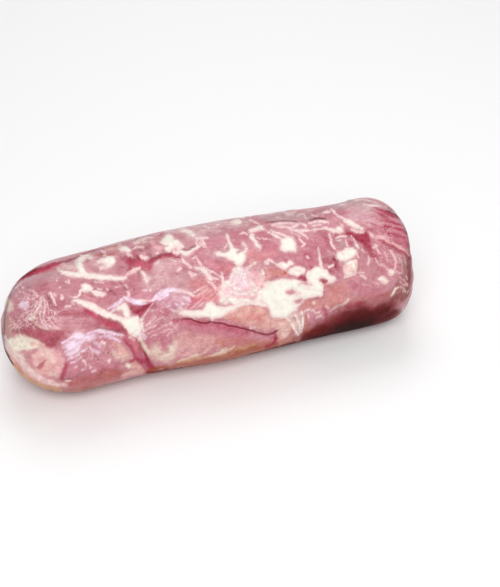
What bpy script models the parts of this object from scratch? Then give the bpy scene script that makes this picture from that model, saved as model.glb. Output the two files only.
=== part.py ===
"""A raw boneless pork cut: one long, thick roll of muscles that lies on its flat underside.

Metres, +Z up. X runs along the cut, -Y is its shown side, and the origin is under its middle.
The skin of a box is wrapped round a loft: rounded ends, soft-cornered sections and a flat base.
Relief is then pressed in (seams between muscles) or raised (muscle bellies and fat pads).
"""

import math

import bpy
import numpy as np

# Driving sizes of the whole cut
LENGTH = 0.320
STATIONS = (0.00, 0.12, 0.30, 0.50, 0.70, 0.88, 1.00)
HALF_WIDTHS = (0.0500, 0.0510, 0.0515, 0.0560, 0.0535, 0.0510, 0.0490)
HEIGHTS = (0.0835, 0.0830, 0.0838, 0.0862, 0.0845, 0.0830, 0.0870)
SIDEWAYS = (-0.0070, -0.0035, 0.0, 0.0, 0.0, -0.0010, -0.0020)

# The section is a soft-cornered oval whose lowest part is pressed flat
SECTION_POWER = 2.35
PRESSED_FLAT = 0.007

# Each end rounds off over this length
LEFT_END = 0.054
LEFT_POWER = 2.05
RIGHT_END = 0.047
RIGHT_POWER = 3.8
END_CAP_ARC = 0.034

# Divisions of the box skin along, across and up
ALONG = 58
ACROSS = 20
UP = 18

# Relief fades out over this height above the base
BASE_FADE = 0.010

# Muscle bellies: place along X, turn from the top towards the shown side in degrees,
# reach along and round the cut, and height
BELLIES = {
    "left lobe": (-0.116, 75, 0.040, 0.045, 0.0026),
    "left shoulder": (-0.140, 0, 0.022, 0.030, 0.0030),
    "lower lobe": (-0.030, 105, 0.055, 0.018, 0.0022),
    "middle back": (-0.048, 0, 0.028, 0.034, 0.0036),
    "right shoulder": (0.136, -5, 0.024, 0.040, 0.0034),
    "right belly": (0.075, 70, 0.040, 0.025, 0.0015),
    "far flank": (0.020, -85, 0.070, 0.024, 0.0022),
    "far left flank": (-0.095, -78, 0.040, 0.022, 0.0016),
}

# Seams between the muscles: width, depth and the places (X, turn) that each runs through
SEAMS = {
    "left groove": (0.0048, 0.0030, ((-0.067, 72), (-0.065, 84), (-0.063, 94), (-0.060, 107))),
    "lobe hollow": (0.0085, 0.0020, ((-0.150, 60), (-0.134, 60), (-0.118, 56))),
    "rim seam": (0.0060, 0.0018, ((-0.142, -28), (-0.124, -16), (-0.109, -13), (-0.086, -25))),
    "recess": (0.0045, 0.0018, ((-0.074, 49), (-0.064, 47), (-0.054, 52))),
    "upper seam": (0.0055, 0.0016, ((-0.066, 2), (-0.054, 6), (-0.038, 5), (-0.024, 4))),
    "lower lobe seam": (
        0.0048,
        0.0024,
        ((-0.040, 60), (-0.024, 70), (-0.003, 77), (0.017, 87), (0.037, 99)),
    ),
    "right hollow": (0.0100, 0.0030, ((0.100, 13), (0.112, 20), (0.123, 29), (0.142, 42))),
    "right lower seam": (0.0065, 0.0018, ((0.062, 76), (0.082, 86), (0.100, 97))),
    "far seam": (0.0060, 0.0030, ((-0.115, -52), (-0.060, -58), (0.010, -50), (0.075, -62), (0.125, -48))),
    "far lower seam": (0.0060, 0.0024, ((-0.085, -96), (-0.020, -104), (0.050, -98))),
    "left end seam": (0.0055, 0.0022, ((-0.148, -60), (-0.158, -20), (-0.159, 60), (-0.152, 104))),
    "right end seam": (0.0060, 0.0030, ((0.155, -60), (0.159, 10), (0.155, 66))),
    "right end branch": (0.0050, 0.0022, ((0.150, 112), (0.159, 60), (0.157, -110))),
}

# Raised fat pads: how high they stand, and each pad's half width and the places of its ridge
FAT_HEIGHT = 0.0011
FAT_PADS = {
    "collar strip": (0.0040, ((-0.108, 32), (-0.098, 36), (-0.088, 45), (-0.078, 54))),
    "groove pad": (0.0072, ((-0.076, 57), (-0.066, 60))),
    "left strip": (0.0032, ((-0.112, -4), (-0.098, 2), (-0.085, 10), (-0.074, 15))),
    "left arm": (0.0036, ((-0.097, -1), (-0.088, -17))),
    "top patch": (0.0070, ((-0.033, -7), (-0.020, -3))),
    "upper strip": (0.0036, ((-0.023, 4), (-0.011, 6))),
    "middle strip": (0.0042, ((-0.035, 58), (-0.013, 56), (0.010, 58), (0.030, 64))),
    "star": (0.0064, ((0.015, 12), (0.015, 20))),
    "star arm": (0.0034, ((0.001, 9), (0.015, 16))),
    "upper patch": (0.0052, ((0.035, -8), (0.046, -5))),
    "square patch": (0.0056, ((0.052, 14), (0.062, 17))),
    "large patch": (0.0090, ((0.032, 60), (0.044, 65))),
    "long patch": (0.0062, ((0.058, 68), (0.064, 60), (0.072, 50), (0.083, 44))),
    "right patch": (0.0060, ((0.092, 47), (0.104, 43))),
    "bright patch": (0.0048, ((0.090, 35), (0.100, 36))),
    "far patch": (0.0070, ((0.030, -34), (0.050, -40))),
    "far strip": (0.0045, ((-0.080, -62), (-0.050, -70), (-0.025, -66))),
}

MEAT_COLOUR = (0.62, 0.24, 0.25, 1.0)
MEAT_ROUGHNESS = 0.36


def clear_scene():
    for thing in list(bpy.data.objects):
        bpy.data.objects.remove(thing, do_unlink=True)


def meat_material():
    material = bpy.data.materials.new("raw_meat")
    material.use_nodes = True
    shader = material.node_tree.nodes["Principled BSDF"]
    shader.inputs["Base Color"].default_value = MEAT_COLOUR
    shader.inputs["Roughness"].default_value = MEAT_ROUGHNESS
    shader.inputs["Metallic"].default_value = 0.0
    return material


def box_skin(along, across, up):
    """Points on the skin of a box from -1 to 1 each way, and its quads facing out."""
    number = {}
    quads = []

    def sheet(first_count, second_count, place):
        """One side of the box, where place turns two grid numbers into a corner."""
        for first in range(first_count):
            for second in range(second_count):
                ring = ((first, second), (first + 1, second), (first + 1, second + 1), (first, second + 1))
                quads.append([number.setdefault(place(*corner), len(number)) for corner in ring])

    sheet(across, along, lambda j, i: (i, j, 0))
    sheet(along, across, lambda i, j: (i, j, up))
    sheet(along, up, lambda i, k: (i, 0, k))
    sheet(up, along, lambda k, i: (i, across, k))
    sheet(up, across, lambda k, j: (0, j, k))
    sheet(across, up, lambda j, k: (along, j, k))
    points = np.array(list(number), float) * 2 / (along, across, up) - 1
    return points, quads


def through_stations(values, share):
    """A smooth curve through the values at the stations, read at each share of the length."""
    knots = np.array(STATIONS)
    values = np.array(values)
    slopes = np.gradient(values, knots)
    left = np.clip(np.searchsorted(knots, share) - 1, 0, len(knots) - 2)
    span = knots[left + 1] - knots[left]
    t = np.clip((share - knots[left]) / span, 0, 1)
    return (
        (2 * t**3 - 3 * t**2 + 1) * values[left]
        + (t**3 - 2 * t**2 + t) * span * slopes[left]
        + (3 * t**2 - 2 * t**3) * values[left + 1]
        + (t**3 - t**2) * span * slopes[left + 1]
    )


def end_outline(length, power, count=400):
    """Distance from the tip and share of the full girth, from the tip to the full section."""
    t = np.linspace(math.pi / 2, 0, count)
    return length * (1 - np.sin(t) ** (2 / power)), np.cos(t) ** (2 / power)


def girth_outline():
    """Places along X and the share of the full girth there, from the left tip to the right one."""
    left_x, left_girth = end_outline(LEFT_END, LEFT_POWER)
    right_x, right_girth = end_outline(RIGHT_END, RIGHT_POWER)
    along = np.concatenate([left_x - LENGTH / 2, LENGTH / 2 - right_x[::-1]])
    return along, np.concatenate([left_girth, right_girth[::-1]])


def signed_power(value, power):
    return np.sign(value) * np.abs(value) ** power


def on_section(along, girth, turn):
    """Points of the plain form: a place along X, a share of the girth and a turn from the top."""
    share = along / LENGTH + 0.5
    half_width = through_stations(HALF_WIDTHS, share)
    height = through_stations(HEIGHTS, share)
    middle = (height - PRESSED_FLAT) / 2
    reach = (height + PRESSED_FLAT) / 2
    across = -signed_power(np.sin(turn), 2 / SECTION_POWER)
    up = signed_power(np.cos(turn), 2 / SECTION_POWER)
    y = through_stations(SIDEWAYS, share) + girth * half_width * across
    z = middle + girth * reach * up
    return np.stack([along, y, np.maximum(z, 0)], axis=-1)


def plain_form(box_points):
    """The box skin's points wrapped on to the plain form."""
    along, girth = girth_outline()
    radius = max(HALF_WIDTHS)
    steps = np.hypot(np.diff(along), np.diff(girth) * radius)
    arc = np.concatenate([[0.0], np.cumsum(steps)])
    a, b, c = box_points.T
    ring = np.maximum(np.abs(b), np.abs(c))
    side_arc = END_CAP_ARC + (a + 1) / 2 * (arc[-1] - 2 * END_CAP_ARC)
    where = np.where(a <= -1, END_CAP_ARC * ring, np.where(a >= 1, arc[-1] - END_CAP_ARC * ring, side_arc))
    return on_section(
        np.interp(where, arc, along),
        np.interp(where, arc, girth),
        np.arctan2(-b, c),
    )


def on_surface(places):
    """Points of the plain form at pairs of a place along X and a turn in degrees."""
    places = np.array(places, float)
    along, girth = girth_outline()
    return on_section(places[:, 0], np.interp(places[:, 0], along, girth), np.radians(places[:, 1]))


def smooth_route(places, pieces=6):
    """A rounded route through the places, as points on the plain form."""
    places = np.array(places, float)
    knots = np.arange(len(places))
    fine = np.linspace(0, len(places) - 1, pieces * (len(places) - 1) + 1)
    slopes = np.gradient(places, axis=0) if len(places) > 2 else np.diff(places, axis=0).repeat(2, axis=0)
    left = np.clip(fine.astype(int), 0, len(knots) - 2)
    t = (fine - left)[:, None]
    fine_places = (
        (2 * t**3 - 3 * t**2 + 1) * places[left]
        + (t**3 - 2 * t**2 + t) * slopes[left]
        + (3 * t**2 - 2 * t**3) * places[left + 1]
        + (t**3 - t**2) * slopes[left + 1]
    )
    return on_surface(fine_places)


def distance_to_route(points, route):
    nearest = np.full(len(points), np.inf)
    for start, end in zip(route[:-1], route[1:]):
        run = end - start
        t = np.clip((points - start) @ run / (run @ run), 0, 1)
        nearest = np.minimum(nearest, np.linalg.norm(points - start - t[:, None] * run, axis=1))
    return nearest


def outward(points):
    """Unit directions out of the form, across the axis and tipped towards the nearer end."""
    reach = LENGTH / 2 - 0.040
    spine = np.zeros_like(points)
    spine[:, 0] = np.clip(points[:, 0], -reach, reach)
    spine[:, 2] = HEIGHTS[0] / 2
    away = points - spine
    return away / np.linalg.norm(away, axis=1)[:, None]


def belly_height(points, place, turn, reach_along, reach_round, height):
    centre = on_surface([(place, turn)])[0]
    away = points - centre
    round_distance = np.hypot(away[:, 1], away[:, 2])
    return height * np.exp(-((away[:, 0] / reach_along) ** 2) - (round_distance / reach_round) ** 2)


def relief(points):
    """How far each point moves out of the plain form."""
    rise = np.zeros(len(points))
    for belly in BELLIES.values():
        rise += belly_height(points, *belly)
    for width, depth, places in SEAMS.values():
        rise -= depth * np.exp(-((distance_to_route(points, smooth_route(places)) / width) ** 2))
    for half_width, places in FAT_PADS.values():
        edge = distance_to_route(points, smooth_route(places)) / half_width
        rise += FAT_HEIGHT / (1 + edge**6)
    return rise * np.clip(points[:, 2] / BASE_FADE, 0, 1)


def pork_cut():
    box_points, quads = box_skin(ALONG, ACROSS, UP)
    points = plain_form(box_points)
    shaped = points + outward(points) * relief(points)[:, None]
    shaped[:, 2] = np.maximum(shaped[:, 2], 0)
    shaped[:, :2] -= (shaped[:, :2].min(axis=0) + shaped[:, :2].max(axis=0)) / 2
    mesh = bpy.data.meshes.new("pork_tenderloin")
    mesh.from_pydata(shaped.tolist(), [], quads)
    mesh.materials.append(meat_material())
    mesh.shade_smooth()
    cut = bpy.data.objects.new("pork_tenderloin", mesh)
    bpy.context.scene.collection.objects.link(cut)


clear_scene()
pork_cut()
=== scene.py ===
"""Looks of the raw pork cut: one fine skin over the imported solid, painted and raised by named marks.

Metres, +Z up. The form repeats the part's own sizes. Marks are strokes and outlines at places of
the 500 x 587 photograph, carried on to the skin that faces its camera. The skin that the
photograph doesn't show gets marks of the same kinds by a seeded rule.
"""

import math

import bpy
import numpy as np
from mathutils import Matrix, Vector


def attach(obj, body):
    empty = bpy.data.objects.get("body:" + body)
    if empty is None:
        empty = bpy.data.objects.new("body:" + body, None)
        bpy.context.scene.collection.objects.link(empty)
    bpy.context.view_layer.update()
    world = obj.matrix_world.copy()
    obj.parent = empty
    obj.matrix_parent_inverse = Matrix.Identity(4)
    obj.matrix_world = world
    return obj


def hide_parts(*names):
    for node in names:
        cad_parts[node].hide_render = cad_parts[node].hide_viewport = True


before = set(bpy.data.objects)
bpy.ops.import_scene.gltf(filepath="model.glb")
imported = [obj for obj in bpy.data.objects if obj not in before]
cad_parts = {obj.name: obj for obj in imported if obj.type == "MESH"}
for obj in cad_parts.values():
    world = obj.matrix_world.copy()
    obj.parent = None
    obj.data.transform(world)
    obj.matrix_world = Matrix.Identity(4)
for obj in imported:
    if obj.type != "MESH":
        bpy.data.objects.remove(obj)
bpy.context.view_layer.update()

NODE = "pork_tenderloin"
SEED = 11

# Driving sizes of the cut, as in the part
LENGTH = 0.320
STATIONS = (0.00, 0.12, 0.30, 0.50, 0.70, 0.88, 1.00)
HALF_WIDTHS = (0.0500, 0.0510, 0.0515, 0.0560, 0.0535, 0.0510, 0.0490)
HEIGHTS = (0.0835, 0.0830, 0.0838, 0.0862, 0.0845, 0.0830, 0.0870)
SIDEWAYS = (-0.0070, -0.0035, 0.0, 0.0, 0.0, -0.0010, -0.0020)
SECTION_POWER = 2.35
PRESSED_FLAT = 0.007
LEFT_END = 0.054
LEFT_POWER = 2.05
RIGHT_END = 0.047
RIGHT_POWER = 3.8
END_CAP_ARC = 0.034
SPINE_END = 0.040
BASE_FADE = 0.010
AXIS_HEIGHT = HEIGHTS[0] / 2

# The fine skin's divisions, and how they crowd towards the shown side
ALONG = 420
ACROSS = 58
UP = 44
CROWD = 0.45
CROWD_TURN = math.radians(48)

# Muscle bellies: place along X, turn from the top towards the shown side in degrees,
# reach along and round the cut, and height
BELLIES = {
    "left lobe": (-0.116, 75, 0.040, 0.045, 0.0026),
    "left shoulder": (-0.140, 0, 0.022, 0.030, 0.0030),
    "lower lobe": (-0.030, 105, 0.055, 0.018, 0.0022),
    "middle back": (-0.048, 0, 0.028, 0.034, 0.0036),
    "right shoulder": (0.136, -5, 0.024, 0.040, 0.0034),
    "right belly": (0.075, 70, 0.040, 0.025, 0.0015),
    "far flank": (0.020, -85, 0.070, 0.024, 0.0022),
    "far left flank": (-0.095, -78, 0.040, 0.022, 0.0016),
}

# Seams between the muscles: width, depth and the places (X, turn) that each runs through
SEAMS = {
    "left groove": (0.0048, 0.0030, ((-0.067, 72), (-0.065, 84), (-0.063, 94), (-0.060, 107))),
    "lobe hollow": (0.0085, 0.0020, ((-0.150, 60), (-0.134, 60), (-0.118, 56))),
    "rim seam": (0.0060, 0.0018, ((-0.142, -28), (-0.124, -16), (-0.109, -13), (-0.086, -25))),
    "recess": (0.0045, 0.0018, ((-0.074, 49), (-0.064, 47), (-0.054, 52))),
    "upper seam": (0.0055, 0.0016, ((-0.066, 2), (-0.054, 6), (-0.038, 5), (-0.024, 4))),
    "lower lobe seam": (
        0.0048, 0.0024, ((-0.040, 60), (-0.024, 70), (-0.003, 77), (0.017, 87), (0.037, 99)),
    ),
    "right hollow": (0.0100, 0.0030, ((0.100, 13), (0.112, 20), (0.123, 29), (0.142, 42))),
    "right lower seam": (0.0065, 0.0018, ((0.062, 76), (0.082, 86), (0.100, 97))),
    "far seam": (
        0.0060, 0.0030, ((-0.115, -52), (-0.060, -58), (0.010, -50), (0.075, -62), (0.125, -48)),
    ),
    "far lower seam": (0.0060, 0.0024, ((-0.085, -96), (-0.020, -104), (0.050, -98))),
    "left end seam": (0.0055, 0.0022, ((-0.148, -60), (-0.158, -20), (-0.159, 60), (-0.152, 104))),
    "right end seam": (0.0060, 0.0030, ((0.155, -60), (0.159, 10), (0.155, 66))),
    "right end branch": (0.0050, 0.0022, ((0.150, 112), (0.159, 60), (0.157, -110))),
}
HIDDEN_SEAMS = ("far seam", "far lower seam", "left end seam", "right end seam", "right end branch")

# The camera of the photograph
FRAME_WIDE = 500
FRAME_HIGH = 587
ELEVATION = math.radians(39.3)
AZIMUTH = math.radians(-17.9)
DISTANCE = 0.95
LENS_MM = 74.3
SENSOR_MM = 36.0
AIM = (0.0336, 0.0, 0.0290)

# Colours, as they look in even light
TONES = {
    "mauve": "CF9199",
    "rose": "CB8290",
    "deep rose": "C06479",
    "dusk": "B66C7A",
    "grey pink": "C7A2A6",
    "pale mauve": "DEB6B9",
    "dusty": "DEA8A4",
    "rosy": "EFB7B8",
    "salmon": "E38E8E",
    "coral": "D8928A",
    "terracotta": "C97D75",
    "peach": "E8B4A9",
    "blush": "F4D2CC",
    "crimson": "AC3A52",
    "hot crimson": "CC4A66",
    "wine": "86303C",
    "oxblood": "872A26",
    "plum": "784350",
    "maroon": "591B1B",
    "black red": "2E0E0C",
    "brick": "B45A4C",
    "rust": "AC5A3A",
    "ochre": "D39E70",
    "clay": "BE8A7C",
    "umber": "7A4038",
    "bone": "EBD6C2",
    "ivory": "F6ECDA",
    "cream": "FBF8EA",
    "fat": "FEFCF0",
    "thin fat": "F9E2DC",
    "pink white": "FBDDDD",
    "lavender": "F6DEEF",
    "lilac": "E3B4CE",
}

# Wet film shines more than bare muscle
FILM_TONES = ("lavender", "pink white", "blush")


# Marks of the photograph
# A stroke is a run of (pixel x, pixel y, half width), and an outline a run of (pixel x, pixel y).

# Paint, laid on in this order: tone, strength, softness in pixels, and its strokes and outlines
LEFT_LOBE = {
    "crown": ("grey pink", 0.50, 8, [((18, 292, 5), (32, 281, 7), (46, 277, 5), (60, 276, 3))]),
    "crown dip": ("dusk", 0.45, 7, [((32, 290, 4), (44, 287, 6), (58, 285, 5))]),
    "crown right": ("dusk", 0.55, 8, [
        ((64, 283, 6), (84, 281, 5), (112, 284, 6)), ((96, 290, 6), (116, 292, 6)),
    ]),
    "crown right dip": ("dusk", 0.45, 6, [
        ((72, 290, 4), (92, 293, 5), (112, 293, 5)), ((44, 300, 3), (66, 302, 5)),
    ]),
    "tip": ("rose", 0.55, 7, [((8, 318, 5), (11, 300, 6), (20, 288, 5))]),
    "tip clay": ("clay", 0.75, 4, [((6, 317, 3.5), (8, 325, 4.5), (7, 334, 4))]),
    "tip bone": ("bone", 0.90, 3, [((7.6, 301, 3), (10, 308, 3.8))]),
    "web ground": ("dusk", 0.40, 6, [((26, 314, 10), (40, 312, 11), (52, 306, 6))]),
    "long muscle": ("dusk", 0.55, 6, [((52, 319, 5), (66, 318, 7), (80, 319, 8), (92, 322, 7))]),
    "long muscle streak": ("crimson", 0.35, 4, [((60, 314, 2), (78, 315, 3), (92, 316, 4))]),
    "belly": ("mauve", 0.50, 8, [((92, 342, 10), (108, 352, 9), (88, 360, 9))]),
    "belly pink": ("rose", 0.45, 6, [((70, 358, 4), (84, 354, 5), (100, 356, 6), (110, 346, 5))]),
    "underbelly": ("rose", 0.70, 6, [((70, 364, 6), (84, 368, 7), (98, 367, 6), (112, 366, 5))]),
    "low brick": ("brick", 0.70, 8, [((70, 384, 4), (84, 382, 6), (100, 379, 6), (118, 374, 5))]),
    "low dusk": ("dusk", 0.22, 9, [((70, 380, 4), (84, 378, 6), (100, 375, 6), (116, 371, 5))]),
    "low rust": ("rust", 0.60, 3, [((60, 392, 2), (78, 391, 3.4), (94, 388, 2.4))]),
    "crimson band": ("crimson", 0.66, 7, [
        ((20, 331), (26, 327), (32, 324), (36, 326), (43, 330), (51, 331.5), (58, 331), (65, 331),
        (67, 335), (66, 341), (60, 346), (54, 349), (48, 348.5), (43, 344), (39, 340.5), (32, 338.5),
        (26, 336)),
    ]),
    "crimson band heart": ("wine", 0.22, 3, [((49, 342, 4), (56, 339, 3))]),
    "crimson corner": ("wine", 0.50, 3, [((13, 329, 1.5), (18, 331, 2.4), (24, 330, 1.5))]),
    "behind the rim": ("blush", 0.80, 4, [
        ((12, 348, 3), (18, 357, 4), (25, 367, 4), (34, 374, 3), (46, 380, 2.4)),
    ]),
    "rim tan": ("peach", 0.80, 4, [
        ((9, 354, 2.4), (15, 363, 3.2), (23, 371.6, 3.4), (33, 378.4, 3.2), (45, 383.6, 2.8),
        (58, 387.6, 2.2)),
    ]),
    "ivory fold": ("ivory", 0.92, 4, [
        ((6, 338), (10, 336.5), (15, 336), (20, 333.6), (24, 335.4), (28, 338), (34, 339.6), (40, 341.6),
        (44, 345), (40, 349), (34, 350), (28, 351.4), (22, 352), (15, 351), (9, 346)),
    ]),
    "ivory fold blush": ("peach", 0.75, 3, [((33, 344, 3), (41, 345, 2.4))]),
    "ivory fold shade": ("bone", 0.80, 4, [((11, 352, 2), (17, 356, 3), (22, 360, 2.6))]),
    "left edge": ("blush", 0.75, 2.5, [((4.6, 337, 2), (4.8, 346, 2.2), (8, 352, 1.8))]),
    "peach lump": ("rosy", 0.92, 5, [
        ((26, 361), (27, 354.5), (31, 350.5), (38, 348.5), (46, 348.5), (54, 350.5), (60, 354), (64, 360),
        (64.5, 366), (61.5, 371.5), (58, 377), (50, 378), (42, 376.5), (35, 373.5), (29, 367.5)),
    ]),
    "peach lump warm": ("peach", 0.60, 5, [((36, 356, 3), (46, 364, 6), (42, 372, 4))]),
    "peach lump light": ("blush", 0.85, 5, [
        ((42, 354, 4), (49, 356, 5), (54, 361, 3)), ((40, 352, 2), (46, 352, 3)),
    ]),
    "peach lump pink": ("rosy", 0.85, 4, [((58, 364, 3), (56, 370, 4), (50, 372, 3))]),
    "peach lump shade": ("dusk", 0.55, 4, [
        ((36, 350, 1.5), (30, 355, 2.4), (29.5, 361, 2.6), (33, 368, 2)),
    ]),
    "peach lump mottle": ("bone", 0.60, 2.5, [((50, 373, 1.6), (56, 376, 2))]),
    "peach lump spot": ("crimson", 0.70, 2.2, [((44.8, 361, 1), (42, 364.5, 1.9), (38.6, 367.8, 1.8))]),
    # Painted shadow along the lump's right side
    "painted shadow beside the lump": ("crimson", 0.80, 3, [((62, 377.5, 1.8), (64.5, 372, 3), (66, 365, 2))]),
    "rim band": ("blush", 0.95, 4, [
        ((13, 350, 1.4), (18, 358, 2.2), (25, 367.4, 2.6), (33, 374.6, 2.8), (43, 379.6, 2.7),
        (54, 383.4, 2.4), (65, 386, 1.6)),
    ]),
    "rim light": ("pink white", 0.80, 1.6, [
        ((27, 369.6, 0.9), (33.6, 375, 1.4), (42, 378.6, 1.3), (52, 381.2, 1.1)),
    ]),
    "rim ochre": ("ochre", 0.95, 2, [
        ((7, 357, 1.6), (11.4, 364.6, 3), (17, 371.6, 3.8), (24.6, 378.4, 3.8), (34, 384, 3.2),
        (46, 388, 2.6), (60, 390.6, 2.2)),
    ]),
    "rim dark": ("black red", 0.85, 1.8, [
        ((4.4, 349.6, 1.5), (6.4, 354.6, 2), (10, 360.6, 1.5), (13, 365, 0.9)),
    ]),
    "rim line": ("umber", 0.70, 1.6, [
        ((11, 366, 0.9), (18, 375, 1.1), (27, 383, 1.1), (39, 388.6, 1), (52, 391.2, 0.9)),
    ]),
    "outer line": ("plum", 0.70, 1.5, [
        ((4.4, 348, 1.2), (3.8, 335, 1.4), (4.8, 318, 1.3), (7.4, 303, 1.1), (12.4, 291, 1),
        (19, 282, 0.9)),
    ]),
    "top rim": ("crimson", 0.95, 1.8, [
        ((19, 281, 0.8), (26, 276.4, 1.8), (33, 272.2, 2.4), (41, 269.2, 2.6), (50, 266.4, 2.4),
        (57, 264.2, 1.9), (62, 262.4, 1)),
    ]),
    "top rim dark": ("wine", 0.85, 1.2, [
        ((18, 281, 0.8), (26, 274.8, 1.4), (33, 270.2, 1.2), (41, 266.6, 0.6)),
    ]),
    "top rim glow": ("hot crimson", 0.50, 2.5, [((36, 273.5, 1.6), (48, 270.5, 1.8), (56, 268, 1.2))]),
    "top rim line": ("plum", 0.85, 1.1, [
        ((60, 263, 0.8), (66, 261.8, 0.9), (72, 259.4, 0.9), (78, 257, 0.9), (84, 254.4, 0.8),
        (94, 250, 0.6)),
    ]),
    # Painted sheen: a pale grey-pink line along the top edge
    "top edge": ("grey pink", 0.70, 1.8, [
        ((46, 262.6, 1), (58, 258.4, 1.6), (70, 254, 1.6), (86, 249, 1.2)),
    ]),
    "beside the arm": ("blush", 0.70, 3, [((60, 267.5, 1.5), (68, 266.5, 2.6), (74, 268, 2.4))]),
}

LEFT_WEB = {
    # The lavender ring is membrane with a painted highlight spot on it
    "ring": ("lavender", 0.85, 3, [((22.5, 305, 3.4), (26, 305.6, 3.6))]),
    "ring curl": ("grey pink", 0.70, 1, [
        ((20, 297, 0.6), (27, 296.4, 0.8), (32, 300, 0.9), (33, 305, 0.8), (30, 311, 0.9),
        (26, 314, 0.6)),
    ]),
    "web shade": ("dusk", 0.55, 5, [((52, 300, 5), (60, 306, 5)), ((30, 324, 4), (16, 318, 4))]),
    "curls above": ("pink white", 0.65, 1, [
        ((28, 290, 0.6), (33, 291.2, 0.9), (36.4, 294, 0.9), (37.4, 297.4, 0.6)), ((21, 284.6, 0.5),
        (23.6, 288, 0.7)), ((18, 288, 0.4), (20.6, 292, 0.5)), ((24, 292, 0.4), (28, 295, 0.5)),
    ]),
    "trunk": ("pink white", 0.72, 1.3, [
        ((40.6, 297.6, 1.1), (41, 302, 1.6), (38.6, 307, 1.5), (36, 312, 1.4), (32.4, 316.4, 1.4)),
        ((44, 299, 1), (45.4, 306, 1), (44, 312, 1)),
    ]),
    "strands": ("pink white", 0.62, 1.0, [
        ((44, 312, 0.7), (43, 318, 0.7), (46, 323.6, 0.6), (52, 328, 0.6), (58, 329, 0.4)),
        ((38, 302, 0.7), (35, 306, 0.8), (32.6, 311, 0.7), (28.6, 316, 0.7), (24, 321, 0.5)),
        ((47.4, 303, 0.6), (48.4, 309, 0.6), (48.4, 316, 0.6), (51, 322, 0.5), (56, 326.6, 0.5),
        (61, 329, 0.4)), ((40, 311, 0.9), (40, 318, 0.9), (43.4, 324, 0.8), (48, 329, 0.6)),
        ((23, 313, 0.5), (29, 311.4, 0.7), (34, 309, 0.6)), ((35, 304, 0.4), (37, 301, 0.4)),
        ((42.6, 305, 0.4), (41.4, 311, 0.5)), ((51, 310, 0.4), (52.4, 317, 0.4), (57, 321, 0.4)),
        ((54, 311, 0.4), (56.6, 314, 0.4), (60, 311, 0.4)),
    ]),
    "bright knot": ("ivory", 0.85, 1.6, [
        ((31.6, 314.6, 1.6), (34, 317.6, 1.8)), ((30, 318.6, 1.2), (32, 320, 1.2)),
    ]),
    "web foot": ("bone", 0.50, 1.3, [
        ((29.6, 319, 0.8), (34, 322.4, 1.1), (39, 325.8, 1), (45, 328.6, 0.9), (51, 329.8, 0.7)),
    ]),
    "foot shadow": ("plum", 0.40, 1.4, [((33, 324.6, 0.8), (39, 329, 1), (47, 332, 0.8))]),
    "second strands": ("pink white", 0.80, 1.0, [
        ((49.6, 292.6, 1), (51.6, 296, 1.4), (54, 300, 1), (56.4, 305, 0.6)), ((53.6, 293.6, 0.8),
        (55.6, 297, 0.7)), ((61.6, 294.4, 1.3), (62.2, 298.6, 1.7)), ((66, 281.6, 0.7),
        (66.4, 282.2, 0.7)), ((68.4, 280.4, 1.1), (68.8, 282.4, 1.3)), ((56.6, 280.4, 0.7),
        (57, 281, 0.7)), ((60, 287, 0.7), (60.4, 287.6, 0.7)), ((66, 307, 0.9), (70.4, 306.4, 1.1)),
        ((71, 302.6, 0.6), (74, 305, 0.6)),
    ]),
    "second shadow": ("plum", 0.55, 1.0, [
        ((46, 294, 0.6), (49.4, 300, 0.8), (53.4, 306, 0.7), (57.4, 309.4, 0.6)),
    ]),
    "triangle tail": ("pink white", 0.90, 1.0, [
        ((69, 296.6, 0.6), (73, 297.6, 0.8), (77.6, 297.6, 1), (79.8, 295, 1.2), (80.4, 291, 1.1),
        (82.6, 289, 1.2)),
    ]),
    "shade by the tail": ("clay", 0.55, 1.1, [
        ((66, 299.6, 0.5), (74, 300, 0.7), (82, 299.4, 0.6)), ((82, 292.6, 0.8), (88, 293, 0.8),
        (94, 296, 0.7)),
    ]),
    "pink under triangle": ("rosy", 0.60, 1.8, [((84, 296, 1.4), (89, 299, 1.8), (94, 299, 1.4))]),
    "lower strands": ("blush", 0.50, 0.9, [
        ((11, 321, 0.6), (15, 324, 0.8), (19.4, 328, 0.6)), ((8.6, 325, 0.5), (13, 328.6, 0.6)),
        ((10, 331, 0.5), (13.6, 327, 0.7), (18, 322.6, 0.6)), ((15, 330, 0.5), (18.6, 325, 0.6),
        (23, 321, 0.5)), ((19.4, 329.6, 0.5), (20.6, 333.6, 0.6)), ((22, 316, 0.5), (18, 320, 0.5)),
        ((28, 319, 0.5), (26, 324, 0.6), (28, 327, 0.6)),
    ]),
    "long pale lines": ("rosy", 0.28, 0.9, [
        ((56, 314, 0.4), (68, 313, 0.5), (82, 312, 0.4)), ((54, 319, 0.4), (70, 318.4, 0.5),
        (86, 319.6, 0.4)), ((58, 324.6, 0.4), (72, 325.4, 0.5), (88, 325.6, 0.4)), ((60, 329.6, 0.6),
        (74, 330.4, 0.6), (90, 330, 0.5)), ((64, 310, 0.5), (76, 309, 0.6)), ((58, 321.6, 0.3),
        (74, 322, 0.4)),
    ]),
}

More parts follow.
